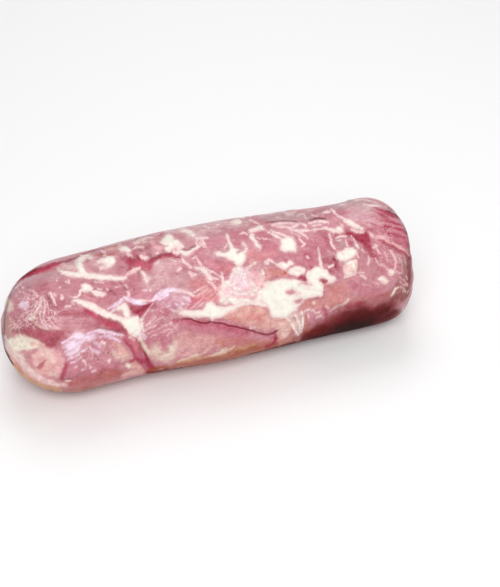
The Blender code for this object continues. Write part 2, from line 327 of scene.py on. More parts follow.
LEFT_LOBE_FILM = {
    # Silverskin and the ribbon under the collar: real membrane, brightened by a painted highlight
    "silverskin and painted highlight": ("lavender", 0.96, 5, [((70, 354.6, 3.8), (74, 346.4, 7.6), (79.6, 339, 6.2))]),
    "silverskin upper": ("lavender", 0.60, 2.6, [
        ((69, 338, 1.2), (76, 335, 2.4), (86, 335.6, 2.8), (94, 334.6, 1.6)), ((63, 346.6, 0.8),
        (68, 342, 1.6)),
    ]),
    "silverskin right": ("lavender", 0.70, 2.4, [
        ((86, 339, 2.4), (92, 338, 2.6), (97, 336, 2)), ((94, 342, 2), (99, 346, 2)), ((94, 350, 1.2),
        (98, 352, 2)),
    ]),
    "silverskin threads": ("lavender", 0.85, 1.1, [
        ((66, 355.6, 0.9), (72, 353, 1), (78, 350.6, 0.9)), ((68, 359.4, 0.7), (74, 357, 0.8),
        (80, 354, 0.7)), ((71, 363.4, 0.6), (76, 361, 0.7), (81, 357.6, 0.6)), ((62, 343, 0.8),
        (67, 340, 0.9), (73, 336, 0.8)), ((64, 348, 0.8), (70, 344, 0.9), (76, 339.6, 0.8)),
        ((82, 352, 0.8), (87, 349, 0.8)), ((90, 347, 0.7), (93, 351, 0.8)), ((65, 352, 0.6),
        (71, 348.6, 0.7), (78, 345, 0.6)), ((68, 352, 0.9), (73, 348.6, 1.2)),
    ]),
    "silverskin gaps": ("rose", 0.34, 1.2, [
        ((63, 345.6, 0.7), (69, 342.6, 0.7)), ((68, 352.4, 0.7), (77, 348, 0.8)), ((84, 346, 1.4),
        (90, 344, 1.2)), ((86, 355, 2), (90, 358, 1.8)), ((70, 338.6, 0.6), (78, 341.6, 0.6)),
        ((64, 354, 0.5), (72, 349.8, 0.6), (80, 345, 0.5)), ((67, 357.6, 0.5), (74, 354.6, 0.6),
        (80, 350.4, 0.5)), ((72, 360.4, 0.5), (78, 357.4, 0.5)), ((61, 349.6, 0.5), (68, 345.4, 0.5)),
        ((80, 341, 0.6), (86, 338, 0.5)),
    ]),
    "ribbon under collar": ("lavender", 0.85, 1.4, [
        ((88, 333, 1), (94, 331.2, 1.3), (100, 330.6, 1.6), (106, 332, 2.2), (113, 333.6, 1.6),
        (123, 334.8, 1)), ((100, 337, 1.6), (108, 336.6, 2), (114, 338.6, 1.6), (120, 342, 1)),
    ]),
    "specks": ("pink white", 0.85, 1.0, [
        ((102, 342.4, 1.6), (104, 343.4, 1.6)), ((82.6, 360, 0.9), (84.8, 362.4, 0.9), (86, 366, 0.8)),
        ((81, 368.8, 1), (85, 369.4, 1)), ((66, 381.4, 0.9), (70, 380.8, 1)), ((88, 364.6, 0.6),
        (90, 367, 0.6)), ((108, 360.6, 0.6), (112, 358, 0.5)), ((119, 352.6, 0.9), (122, 355, 0.9)),
        ((105, 365, 0.4), (110, 362, 0.5)), ((74, 368, 0.5), (77, 366, 0.5)), ((92, 372, 0.5),
        (96, 371, 0.5)),
    ]),
    "veins": ("plum", 0.50, 1.0, [
        ((104, 353, 0.5), (112, 353.6, 0.6), (118, 355, 0.5)), ((61, 378.6, 0.8), (70, 379.4, 0.9),
        (77, 376.6, 0.9), (82, 373, 0.8), (84.4, 369, 0.6)), ((94, 355, 0.5), (99, 359, 0.5)),
        ((92, 343, 0.5), (96, 346, 0.5)),
    ]),
    "peach by groove": ("peach", 0.78, 5, [
        ((113, 343, 1.8), (120, 348.6, 3.4), (126, 355, 3.8)), ((118, 354, 2), (123, 360, 2)),
    ]),
    "peach mottle": ("bone", 0.45, 3, [((126, 356, 2.4), (122, 360, 2)), ((113, 353, 2), (117, 359, 2))]),
    "foot ochre": ("peach", 0.80, 2.6, [
        ((132, 367, 2), (136, 363.6, 2.4), (139, 367, 2.4)), ((122, 376, 2), (132, 373, 2.6),
        (142, 371, 2)),
    ]),
    "foot brick": ("brick", 0.35, 4, [((104, 372, 4), (116, 374, 3.4), (126, 371, 2.6))]),
    "foot dot": ("ivory", 0.95, 1.4, [((126.6, 364.6, 2), (128.8, 366, 2.3))]),
}

UPPER_LEFT = {
    "oval": ("pale mauve", 0.50, 4, [((90, 258, 4), (97, 264, 6), (103, 269, 5))]),
    "oval sides": ("dusk", 0.50, 3, [((91, 267, 3), (97, 271, 3)), ((119, 261, 4), (120, 270, 4))]),
    "oval lines": ("plum", 0.65, 1.0, [
        ((100, 253.5, 0.7), (104, 256.4, 1.2), (109, 255.4, 0.8)), ((117, 254, 0.6), (121, 256, 0.8)),
        ((127, 257, 0.8), (130, 256.6, 0.8)),
    ]),
    "oval brick": ("brick", 0.55, 2.4, [
        ((94, 254.6, 1.4), (104, 255.2, 1.8), (114, 254.4, 1.4)), ((102, 249.4, 1), (107, 248, 1)),
    ]),
    "oval lights": ("pink white", 0.85, 1.2, [
        ((101.6, 250.6, 0.9), (104.6, 252.2, 1)), ((102.6, 255.6, 0.7), (105.4, 254.6, 0.7)),
        ((98.6, 261.6, 1.2), (101, 259, 1.2)), ((101, 269, 1.2), (105, 267.8, 1.4)), ((104, 261.4, 1.2),
        (106, 265, 1.2)), ((88.4, 257.6, 1), (90.6, 259, 1)),
    ]),
    "edge peach": ("peach", 0.65, 2.4, [
        ((106, 249, 1.5), (114, 247.4, 2.4), (121, 244.6, 1.8)), ((124, 242.4, 1.2), (134, 239, 1.4)),
    ]),
    "edge line": ("plum", 0.60, 1.0, [
        ((94, 250.6, 0.5), (112, 246.2, 0.6), (126, 242.4, 0.7), (138, 238.6, 0.6), (150, 235.4, 0.5)),
    ]),
    "below strip": ("rose", 0.65, 5, [
        ((108, 284, 4), (118, 283, 4), (120, 291, 6)), ((104, 296, 5), (116, 299, 4)),
    ]),
    "pool": ("crimson", 0.85, 3.5, [
        ((128, 262, 3), (134, 262, 5), (142, 264, 6), (149, 265, 4.6), (153, 261, 2.5)),
    ]),
    "pool hot": ("hot crimson", 0.60, 5, [((137, 264, 3), (145, 266, 4.2), (150, 266.6, 2.4))]),
    "pool left": ("crimson", 0.75, 3, [
        ((122, 258, 1.6), (129, 257, 2.6), (131, 263, 2.8), (130, 269, 2)), ((134, 254, 2),
        (138, 257, 2)),
    ]),
    "pool seam": ("crimson", 0.97, 2, [
        ((150, 262, 1.6), (157, 258.5, 2.1), (164, 256.5, 2.5), (171, 254.6, 2.3), (179, 256, 1.8)),
    ]),
    "pool dark": ("wine", 0.70, 1.4, [
        ((148, 260, 1), (156, 256.8, 1.2), (163, 254.2, 1.4), (170, 252.4, 1)), ((137, 256, 1),
        (139, 258.6, 1)),
    ]),
    "above pool": ("dusk", 0.65, 3, [
        ((145, 249, 3.5), (151, 247, 3), (149, 254, 3)), ((133, 250, 2.4), (140, 251, 3)),
    ]),
    "above pool lines": ("plum", 0.45, 1.4, [
        ((144, 247.6, 1), (149, 249.4, 1.2)), ((147, 253, 1), (152, 255.4, 1)), ((140, 249, 0.8),
        (143, 252, 0.8)),
    ]),
    "film above": ("blush", 0.85, 1.3, [
        ((135, 243, 1.6), (140, 240.6, 1.9), (146, 238.4, 1.2), (153, 238, 0.8)), ((138, 246.6, 0.8),
        (144, 247.2, 1.1)), ((142.6, 242.4, 0.8), (147, 241.4, 0.7)), ((118.4, 244.8, 0.8),
        (120.6, 243.8, 0.8)),
    ]),
    "film beside pad": ("rosy", 0.70, 3, [((151, 242, 1.6), (156, 246, 2.6), (160, 249, 2))]),
    "pool lights": ("pink white", 0.92, 1.2, [
        ((140.6, 256.8, 1.2), (144, 257.8, 1.6), (148.4, 257.4, 0.9)), ((156.4, 263.4, 1.5),
        (158.8, 262, 1.5)), ((157, 253.6, 1), (158.4, 252, 0.9)), ((128, 254.4, 0.9), (131, 255.4, 1.2)),
        ((133, 248.8, 0.8), (136, 246.6, 0.9)),
    ]),
    "edge spot": ("crimson", 0.65, 1.8, [((161, 235, 1.6), (164, 232.6, 1.6))]),
    "strip tail": ("blush", 0.92, 1.6, [
        ((125.6, 277.4, 1.3), (129, 273.6, 2.1), (134, 270.8, 2.1), (139.6, 268, 1.4)),
    ]),
    "tail shade": ("crimson", 0.50, 1.8, [
        ((127, 270, 1.2), (133, 266.6, 1.4)), ((143, 270.6, 1), (149, 270, 1.4)),
    ]),
    "dark specks": ("plum", 0.55, 1.0, [
        ((119.6, 281.6, 0.8), (121.6, 283.6, 1)), ((124.4, 287.6, 0.7), (127, 289.4, 0.9)),
        ((138, 271.6, 0.8), (140.4, 275.6, 1)), ((104.6, 289.6, 0.5), (111, 291, 0.7), (116, 295, 0.6)),
        ((94, 288.8, 0.5), (97, 289, 0.5)), ((133.6, 289, 0.5), (134.4, 290.6, 0.5)), ((121, 297, 0.5),
        (123, 299, 0.5)),
    ]),
    "small lights": ("pink white", 0.88, 1.0, [
        ((126, 285.6, 0.8), (128, 288, 0.8)), ((127.6, 291.4, 1), (129, 295, 1.4), (126.6, 298, 1.2)),
        ((106.4, 289.4, 0.9), (108.4, 290, 0.9)), ((97.6, 288.4, 0.8), (102, 289.6, 0.8)),
        ((115, 287.6, 0.5), (121, 286, 0.5)), ((94, 281.6, 0.5), (104, 282.6, 0.5)), ((144.4, 290.4, 1.4),
        (146.4, 290, 1.4)), ((149.6, 289.6, 0.9), (150.4, 291.6, 0.8)), ((162.6, 280.6, 1.1),
        (163, 283.2, 1.3)), ((177.4, 270.6, 1.4), (180.4, 268.6, 1.1)), ((152.6, 286, 0.6),
        (154.6, 284, 0.6)), ((155, 278, 0.6), (158, 275, 0.7)), ((172, 265, 0.4), (180, 262, 0.4)),
    ]),
    "smooth middle": ("pale mauve", 0.62, 10, [
        ((150, 283, 8), (168, 280, 10), (184, 282, 7)), ((162, 267, 6), (170, 270, 6)),
    ]),
    "smooth middle light": ("rosy", 0.12, 7, [
        ((160, 277, 5), (172, 280, 5)), ((168, 264, 4), (176, 268, 4)),
    ]),
}

MIDDLE = {
    # The lavender ribbons are real membrane, brightened by a painted highlight
    "ribbon left": ("lavender", 0.95, 1.8, [
        ((124, 297.6, 1.3), (128, 299.6, 2.1), (134, 301.4, 2.7), (140, 302.2, 2.7), (145, 303, 1.6)),
    ]),
    "ribbon left end": ("lavender", 0.85, 1.6, [
        ((108, 309, 1), (113, 305.8, 1.5), (118, 303, 1.7), (122, 299.6, 1.5)), ((110, 312.6, 1),
        (114, 309.8, 1.5)),
    ]),
    "ribbon thread": ("blush", 0.92, 1.0, [
        ((140, 299.6, 0.9), (146, 300.6, 1), (152.6, 301, 1), (156, 299, 1)),
    ]),
    "lilac ground": ("lilac", 0.28, 5, [
        ((160, 304, 3), (174, 304, 5), (184, 299, 5), (187, 292, 3)), ((176, 298, 4), (190, 299, 3)),
    ]),
    "ribbon middle": ("lavender", 0.96, 2, [
        ((153.6, 299.6, 1.3), (157.6, 296.6, 3.1), (162, 293.6, 3.1), (168, 290.8, 2.3), (174, 289.8, 2),
        (180, 290.2, 1.8)), ((159, 300, 1), (164, 297.4, 1.4), (168, 294.6, 1.2)),
    ]),
    "ribbon right": ("blush", 0.96, 1.1, [
        ((180, 290, 1.5), (185, 291, 1.4), (189.6, 293, 1.3), (193, 295.6, 1.1), (196.4, 297, 1.1),
        (199, 295, 1), (202, 292.4, 1), (206, 290.6, 1.1), (211, 290.8, 1.6)), ((194, 292, 0.7),
        (200, 289, 0.8), (206, 285.6, 0.7)),
    ]),
    "lilac lights": ("lavender", 0.70, 1.4, [
        ((184, 297, 1), (188, 299, 1.6), (190, 302, 1.4)), ((176, 304, 1.4), (180, 307, 1.6),
        (182, 310, 1.4)), ((170, 309, 1), (174, 311, 1.2)), ((182, 304, 0.8), (188, 305, 1)),
        ((165, 308, 0.8), (170, 305.4, 1)),
    ]),
    "lilac gaps": ("deep rose", 0.62, 1.6, [
        ((172, 300, 0.7), (178, 303, 1)), ((184, 302, 0.7), (188, 307.4, 1)), ((176, 308.6, 0.7),
        (180, 304, 0.6)), ((166, 302, 0.8), (170, 300, 0.6)), ((190, 296.6, 0.7), (192.6, 301, 0.9)),
        ((164, 309, 0.8), (168, 313, 0.9)), ((174, 295.6, 0.5), (182, 295, 0.6)),
    ]),
    "recess": ("crimson", 0.88, 2.4, [
        ((129, 305), (135, 306), (142, 305.6), (147, 304), (152, 302.6), (155, 304), (150, 308.6),
        (145, 312), (141, 316), (139, 318.6), (137, 315), (133, 312.6), (130, 309.6)),
    ]),
    "recess dark": ("wine", 0.55, 1.6, [((138, 312, 1.4), (144, 308, 1.4), (149, 305, 1))]),
    "recess right": ("rose", 0.85, 4, [
        ((149, 313, 3), (156, 316, 5), (150, 323, 4)), ((158, 308, 4), (166, 312, 5)),
    ]),
    "fan": ("pink white", 0.66, 0.9, [
        ((142, 320, 0.8), (144, 315, 0.9), (148, 309.6, 0.8), (153, 303.6, 0.7)), ((146, 325.6, 0.8),
        (150.6, 321.4, 0.9), (156, 316.6, 0.7)), ((143.6, 331, 0.9), (148, 328, 1.3), (152.6, 326.4, 1.5),
        (156.6, 325, 1)), ((150, 324, 0.8), (156, 321.6, 0.8), (163, 316.6, 0.6)), ((148, 322, 0.5),
        (154, 315, 0.5)), ((158, 322.6, 0.5), (164, 321, 0.4)), ((166.6, 337, 0.4), (172, 331, 0.5),
        (178, 326, 0.5)), ((170, 324, 1), (171, 324.8, 0.9)), ((148, 333, 0.5), (160, 328, 0.6),
        (172, 323, 0.5)), ((150, 337, 0.5), (164, 331.6, 0.6), (178, 325.6, 0.4)),
    ]),
    "fan ground": ("mauve", 0.40, 5, [((156, 332, 4), (168, 330, 5), (176, 336, 4))]),
    "fan depth": ("deep rose", 0.35, 5, [
        ((146, 318, 3), (154, 314, 4), (164, 312, 3)), ((144, 328, 2), (152, 330, 3)),
    ]),
    "under collar": ("crimson", 0.75, 5, [
        ((86, 311.6, 2.6), (94, 315, 3.2), (102, 319, 4.2), (111, 323.6, 4.6), (120, 328.6, 4.4),
        (126, 332, 2.8)),
    ]),
    "under collar hot": ("hot crimson", 0.50, 3, [
        ((90, 314, 2), (96, 315.6, 2)), ((102, 323, 2), (112, 327, 2.6)),
    ]),
    "under collar dark": ("plum", 0.50, 2, [((98, 327, 1), (110, 330, 1.2), (120, 331.6, 1))]),
    "groove wall": ("deep rose", 0.92, 2.4, [
        ((121, 338), (126, 336), (131, 337), (136, 339), (140, 337), (142, 343), (145, 350), (148, 357),
        (151, 364), (154, 370), (148, 371), (141, 367), (136, 361), (133, 355), (130, 349), (126, 343.6)),
    ]),
    "groove wall light": ("salmon", 0.50, 3, [((132, 341, 2), (136, 346, 2.6), (137, 352, 2))]),
    "groove wall edge": ("crimson", 0.65, 2.2, [
        ((124, 340, 1.2), (130, 346.6, 1.8), (134, 354, 1.8), (137, 360, 2)),
    ]),
    "groove": ("wine", 0.95, 1.4, [
        ((138.6, 336, 0.8), (141, 343, 1), (144, 349.6, 1.3), (146.4, 355.6, 1.7), (148.6, 361, 1.5)),
    ]),
    "groove foot": ("crimson", 0.90, 2.4, [
        ((146, 357, 1.8), (149, 364, 2.8), (153, 369, 3.2)), ((129, 362, 1.4), (137, 360.6, 2.2),
        (144, 361.6, 2)),
    ]),
    "groove foot brick": ("brick", 0.75, 3, [((138, 371, 2), (146, 372, 3), (156, 370, 3))]),
    "pad foot": ("blush", 0.75, 1.4, [
        ((130, 337, 1.3), (134, 339.6, 1.5)), ((138, 337.6, 0.9), (139, 341, 0.8)),
    ]),
    "groove bank": ("bone", 0.92, 3, [
        ((140.4, 337, 1.3), (142.4, 342, 1.8), (145, 347.6, 2), (149, 352.6, 2.4), (152, 358, 2)),
    ]),
    "groove bank lilac": ("lavender", 0.85, 1.8, [((142, 334, 1.7), (145, 337.6, 2.2))]),
    "bank gap": ("rose", 0.85, 2, [((148, 339, 2), (150, 342.6, 2.3))]),
    "mottled cream": ("bone", 0.74, 7, [
        ((155, 346, 3.6), (158, 354, 5), (166, 357, 4.6), (172, 353, 4.8), (175, 346, 3),
        (176, 341, 1.6)),
    ]),
    "mottled cream light": ("ivory", 0.50, 5, [
        ((156, 348, 2), (158, 353, 2.6)), ((170, 346, 2), (172, 352, 2.6)), ((164, 356, 2.6),
        (172, 357, 2)),
    ]),
    "mottled cream gaps": ("rose", 0.60, 3.6, [
        ((162.6, 341, 1.6), (163, 348, 1.6)), ((169, 340, 2), (170.6, 343, 2)), ((149.6, 356, 1),
        (152, 360, 1)),
    ]),
    "lower lobe": ("dusty", 0.88, 8, [((186, 340, 8), (204, 345, 8), (216, 340, 7))]),
    "lower lobe light": ("dusty", 0.35, 6, [((188, 344, 5), (206, 346, 5))]),
    "lower lobe top": ("rose", 0.80, 5, [
        ((176, 325, 3), (192, 327, 4), (206, 330, 4), (222, 332, 5), (238, 336, 5), (254, 340, 4)),
    ]),
    "lower lobe right": ("terracotta", 0.75, 6, [((222, 343, 6), (244, 343, 6), (258, 343, 5))]),
    "low pink": ("rosy", 0.55, 3, [((176, 355, 3), (188, 354, 3))]),
    "low ochre": ("ochre", 0.70, 3, [
        ((178, 362, 1.6), (200, 358.6, 2.2), (220, 355, 2.6), (240, 349.6, 2.8), (254, 346, 2.4)),
    ]),
    "low lights": ("bone", 0.75, 1.6, [
        ((178, 361.6, 0.8), (188, 358.6, 1), (200, 354, 0.9), (208, 350.6, 0.7)), ((190, 357, 0.8),
        (197, 354.4, 1.2)), ((205, 357.8, 1), (214, 355, 1.4), (222, 352.4, 1.8), (228, 350, 1.3),
        (234, 346.8, 0.8)), ((221, 350.6, 0.8), (230, 347.6, 0.7)),
    ]),
    "low rust": ("rust", 0.88, 5, [
        ((150, 370, 2.4), (166, 367, 2.4), (184, 365, 2.6), (204, 362, 3.2), (220, 359.6, 4),
        (234, 356.4, 4.6), (248, 352, 4.6), (262, 348, 4.4), (278, 343.4, 4), (294, 339, 3)),
    ]),
    "low dark": ("maroon", 0.75, 2.2, [
        ((148, 373, 1.4), (170, 370, 1.6), (190, 367.6, 1.5), (212, 365, 1.8), (232, 361, 2),
        (252, 355.4, 1.8), (272, 349.6, 2), (294, 343.6, 2.2)),
    ]),
    "seam glow": ("deep rose", 0.85, 3, [
        ((172, 321, 1.6), (186, 321, 2), (200, 325, 1.8), (214, 325, 2.4), (232, 329, 2.8),
        (248, 334, 2.2)),
    ]),
    "seam shade": ("crimson", 0.45, 2.0, [
        ((174, 319.6, 0.8), (184, 319, 1.1), (192, 319.6, 1.2), (198, 322.6, 1.2), (206, 323, 1.2),
        (212, 321.4, 1.2), (218, 323, 1.3), (226, 324.4, 1.4), (234, 326.2, 1.4), (241, 326.8, 1.4)),
        ((241, 326.8, 1.4), (246, 329.4, 1.3), (252, 331, 1.2), (259, 332.8, 1.2), (265, 334.8, 1.1),
        (272, 334.4, 1), (276, 332.6, 1)),
    ]),
    "seam hook": ("crimson", 0.95, 1.8, [
        ((276, 331.6, 1.8), (276.4, 336, 2.2), (274.6, 340, 1.8), (272, 344.6, 1.6), (266, 346.6, 1.8)),
    ]),
    "lobe under band": ("peach", 0.90, 3, [
        ((225, 312), (232, 308.4), (240, 305.4), (250, 304.6), (260, 306), (267, 309), (270, 314),
        (270.6, 322), (269, 330), (262, 331), (252, 328), (242, 324), (232, 321), (224, 318.6),
        (219, 317)),
    ]),
    "lobe under band rose": ("salmon", 0.55, 4, [
        ((246, 316, 3), (258, 318, 4), (262, 324, 3)), ((230, 316, 3), (240, 320, 2)),
    ]),
    # Painted shade: a thin line along the top of the band
    "painted shade along the band's top": ("terracotta", 0.55, 1.4, [
        ((236, 307.6, 0.8), (246, 305, 0.9), (258, 306.4, 0.9), (266, 309.6, 0.8), (270.4, 316, 0.8)),
    ]),
    "peach lobe": ("peach", 0.92, 2.6, [
        ((271, 318), (277, 318.6), (284, 317.4), (288, 320), (291, 326), (291, 332), (288, 337),
        (282, 339), (277, 336), (276, 331), (271, 328)),
    ]),
    "peach lobe light": ("blush", 0.70, 3, [((280, 324, 2), (284, 327, 3), (285, 333, 3))]),
    "peach lobe edge": ("terracotta", 0.75, 1.6, [
        ((286.6, 317, 1), (290, 322, 1.1), (292.4, 329, 1.2), (291, 336, 1)),
    ]),
    "under peach lobe": ("coral", 0.60, 3, [
        ((280, 341, 2), (290, 338.6, 2.4)), ((293, 336, 1.6), (300, 335, 1.6)),
    ]),
    "band speck": ("pink white", 0.92, 1.0, [((250.6, 327.6, 1.5), (254.4, 327.2, 1.6))]),
}

UPPER_MIDDLE = {
    # Painted sheen: the top band and the far band are pale grey-pink along the top edge
    "top band": ("pale mauve", 0.85, 4, [
        ((166, 231, 2), (182, 228, 5), (205, 226, 6), (228, 225, 5), (246, 223, 3)), ((188, 236, 3),
        (204, 233, 4)),
    ]),
    "top band grey": ("grey pink", 0.25, 5, [
        ((176, 226, 3), (200, 222, 4), (226, 218, 3)), ((232, 217, 2), (250, 216, 3)),
    ]),
    "below top band": ("rose", 0.75, 3, [
        ((202, 240, 3), (214, 241, 5), (228, 240, 5)), ((206, 248, 4), (216, 248, 3)),
    ]),
    "deep below band": ("deep rose", 0.28, 5, [((206, 243, 4), (216, 243, 5), (226, 242, 4))]),
    "far band": ("grey pink", 0.85, 3, [
        ((262, 217, 3), (278, 217, 4), (296, 216.4, 4.4), (310, 216, 4)), ((318, 214, 2), (330, 211, 2)),
    ]),
    "far band streaks": ("pink white", 0.55, 1.0, [
        ((265, 214.4, 0.5), (274, 213.4, 0.6)), ((276, 217.4, 0.7), (281, 217.8, 0.6)),
        ((284, 213.4, 0.8), (289, 214.8, 1), (295, 212.8, 0.7)), ((298, 215.6, 0.8), (304, 213.6, 0.7),
        (306, 218, 0.7)), ((312, 214.8, 1), (317, 216.8, 0.8)), ((322, 214, 0.5), (327, 210, 0.5)),
        ((308, 210.4, 0.5), (314, 210, 0.6)),
    ]),
    "far band line": ("plum", 0.80, 1.1, [
        ((266, 222, 0.7), (273, 221.6, 0.8), (281, 220.8, 1), (290, 221.2, 0.8), (298, 222, 0.6)),
    ]),
    "arch line": ("maroon", 0.75, 1.1, [
        ((310, 219.8, 0.7), (315, 218.8, 0.9), (320, 218.4, 0.8), (325, 219, 0.6)),
    ]),
    "pad shade": ("plum", 0.85, 1.1, [
        ((183, 248.8, 0.8), (187, 250.2, 1.2), (191, 248.8, 1.1), (195, 246.4, 0.9), (198, 244, 0.7)),
    ]),
    "pad glow": ("deep rose", 0.60, 3, [
        ((192, 254, 2.4), (198, 250, 3), (203, 248, 1.8)), ((176, 254, 2), (183, 257, 2)),
    ]),
    "tongue": ("rose", 0.85, 3, [
        ((200, 252), (206, 254.6), (212, 257.6), (221, 260), (229, 263.6), (236, 268), (233, 273),
        (228, 277), (222, 275.6), (215, 270.6), (207, 264.6), (201, 258.6)),
    ]),
    "tongue right": ("salmon", 0.50, 5, [
        ((224, 267, 3), (231, 270, 3.4)), ((212, 262, 2), (220, 266, 2.4)),
    ]),
    "tongue edge": ("deep rose", 0.70, 1.6, [
        ((199, 257, 1), (206, 265, 1.1), (214, 270.6, 1), (221, 275, 0.8)),
    ]),
    "crimson by star": ("deep rose", 0.75, 3.4, [
        ((232, 236, 3), (240, 236, 5), (247, 237, 4)), ((234, 243, 2.4), (240, 244, 3)),
    ]),
    "crimson by cluster": ("deep rose", 0.70, 3.4, [
        ((257, 236, 3), (264, 240, 5), (262, 248, 4)), ((268, 247, 4), (276, 246, 3)), ((263, 234, 2),
        (270, 236, 3)),
    ]),
    "right of cluster": ("salmon", 0.50, 5, [((248, 254, 4), (258, 256, 5), (270, 254, 5))]),
    "salmon middle": ("salmon", 0.45, 6, [
        ((194, 284, 5), (206, 284, 7), (216, 288, 5)), ((206, 277, 3), (216, 280, 3)),
    ]),
    "salmon low": ("salmon", 0.70, 3, [((197, 297, 2), (204, 297, 4), (212, 296.6, 5), (220, 297, 4))]),
    "hot low": ("hot crimson", 0.60, 3.4, [
        ((190, 304, 2), (194, 300, 3.4), (200, 301, 3), (205, 300, 1.6)), ((189, 309, 1.2),
        (193, 306, 1.6)),
    ]),
    "low diagonals": ("rosy", 0.80, 1.0, [
        ((190, 309.6, 0.6), (197, 304, 0.8), (204, 298, 0.6)), ((196, 309, 0.5), (203, 303, 0.6)),
        ((201, 294, 0.5), (208, 289, 0.6)), ((206, 299, 0.6), (213, 294, 0.7)), ((212, 300, 0.5),
        (219, 294, 0.6)),
    ]),
    "coral right": ("coral", 0.85, 4, [
        ((268, 271, 3), (276, 272, 4), (286, 273, 3.4)), ((264, 276, 2), (268, 280, 3)),
    ]),
    "coral dots": ("crimson", 0.80, 1.2, [
        ((284.4, 271.4, 0.9), (285.4, 273.4, 1)), ((276, 276, 0.6), (277, 277, 0.6)), ((267, 281, 0.7),
        (268, 285, 0.8)),
    ]),
    "beside the web": ("rosy", 0.60, 3, [
        ((252, 262, 2.6), (258, 266, 3)), ((256, 279, 2.6), (260, 283, 2.8)), ((266, 269, 2),
        (269, 275, 2)),
    ]),
    "cluster hole": ("plum", 0.85, 1.0, [((261.4, 229.6, 0.8), (263, 229, 0.9))]),
    "right rose": ("deep rose", 0.50, 6, [
        ((300, 240, 5), (312, 242, 6), (322, 250, 7)), ((305, 254, 5), (312, 262, 5)),
    ]),
    "right ring": ("crimson", 0.25, 1.6, [
        ((305, 255, 1), (308, 254, 1.2), (311, 257, 1.2), (309, 260.4, 1.2), (305, 259, 1)),
    ]),
    "right crimson": ("crimson", 0.60, 4, [
        ((322, 262, 3), (331, 261, 4.6), (337, 268, 3)), ((325, 270, 2), (332, 271, 2.4)),
    ]),
    "right crimson heart": ("wine", 0.60, 2, [
        ((329, 264, 1.4), (335, 266, 1.6)), ((333, 259, 1), (337, 262, 1)),
    ]),
    "grey oval": ("grey pink", 0.75, 3, [((338, 240, 2.4), (342, 245, 3.4), (345, 248, 2))]),
    "beside the oval": ("deep rose", 0.65, 2.4, [
        ((326, 238, 2), (329, 246, 2.4), (335, 251, 1.6)), ((349, 241, 2), (352, 246, 2)),
    ]),
    "dark above oval": ("crimson", 0.75, 1.8, [((336, 235, 0.9), (343, 233.8, 1.4), (350, 234.2, 1.8))]),
    "under arch": ("rose", 0.75, 3, [
        ((324, 224, 1.4), (333, 225.4, 2.2), (342, 226.4, 1.6)), ((308, 236, 2), (318, 238, 3)),
    ]),
}

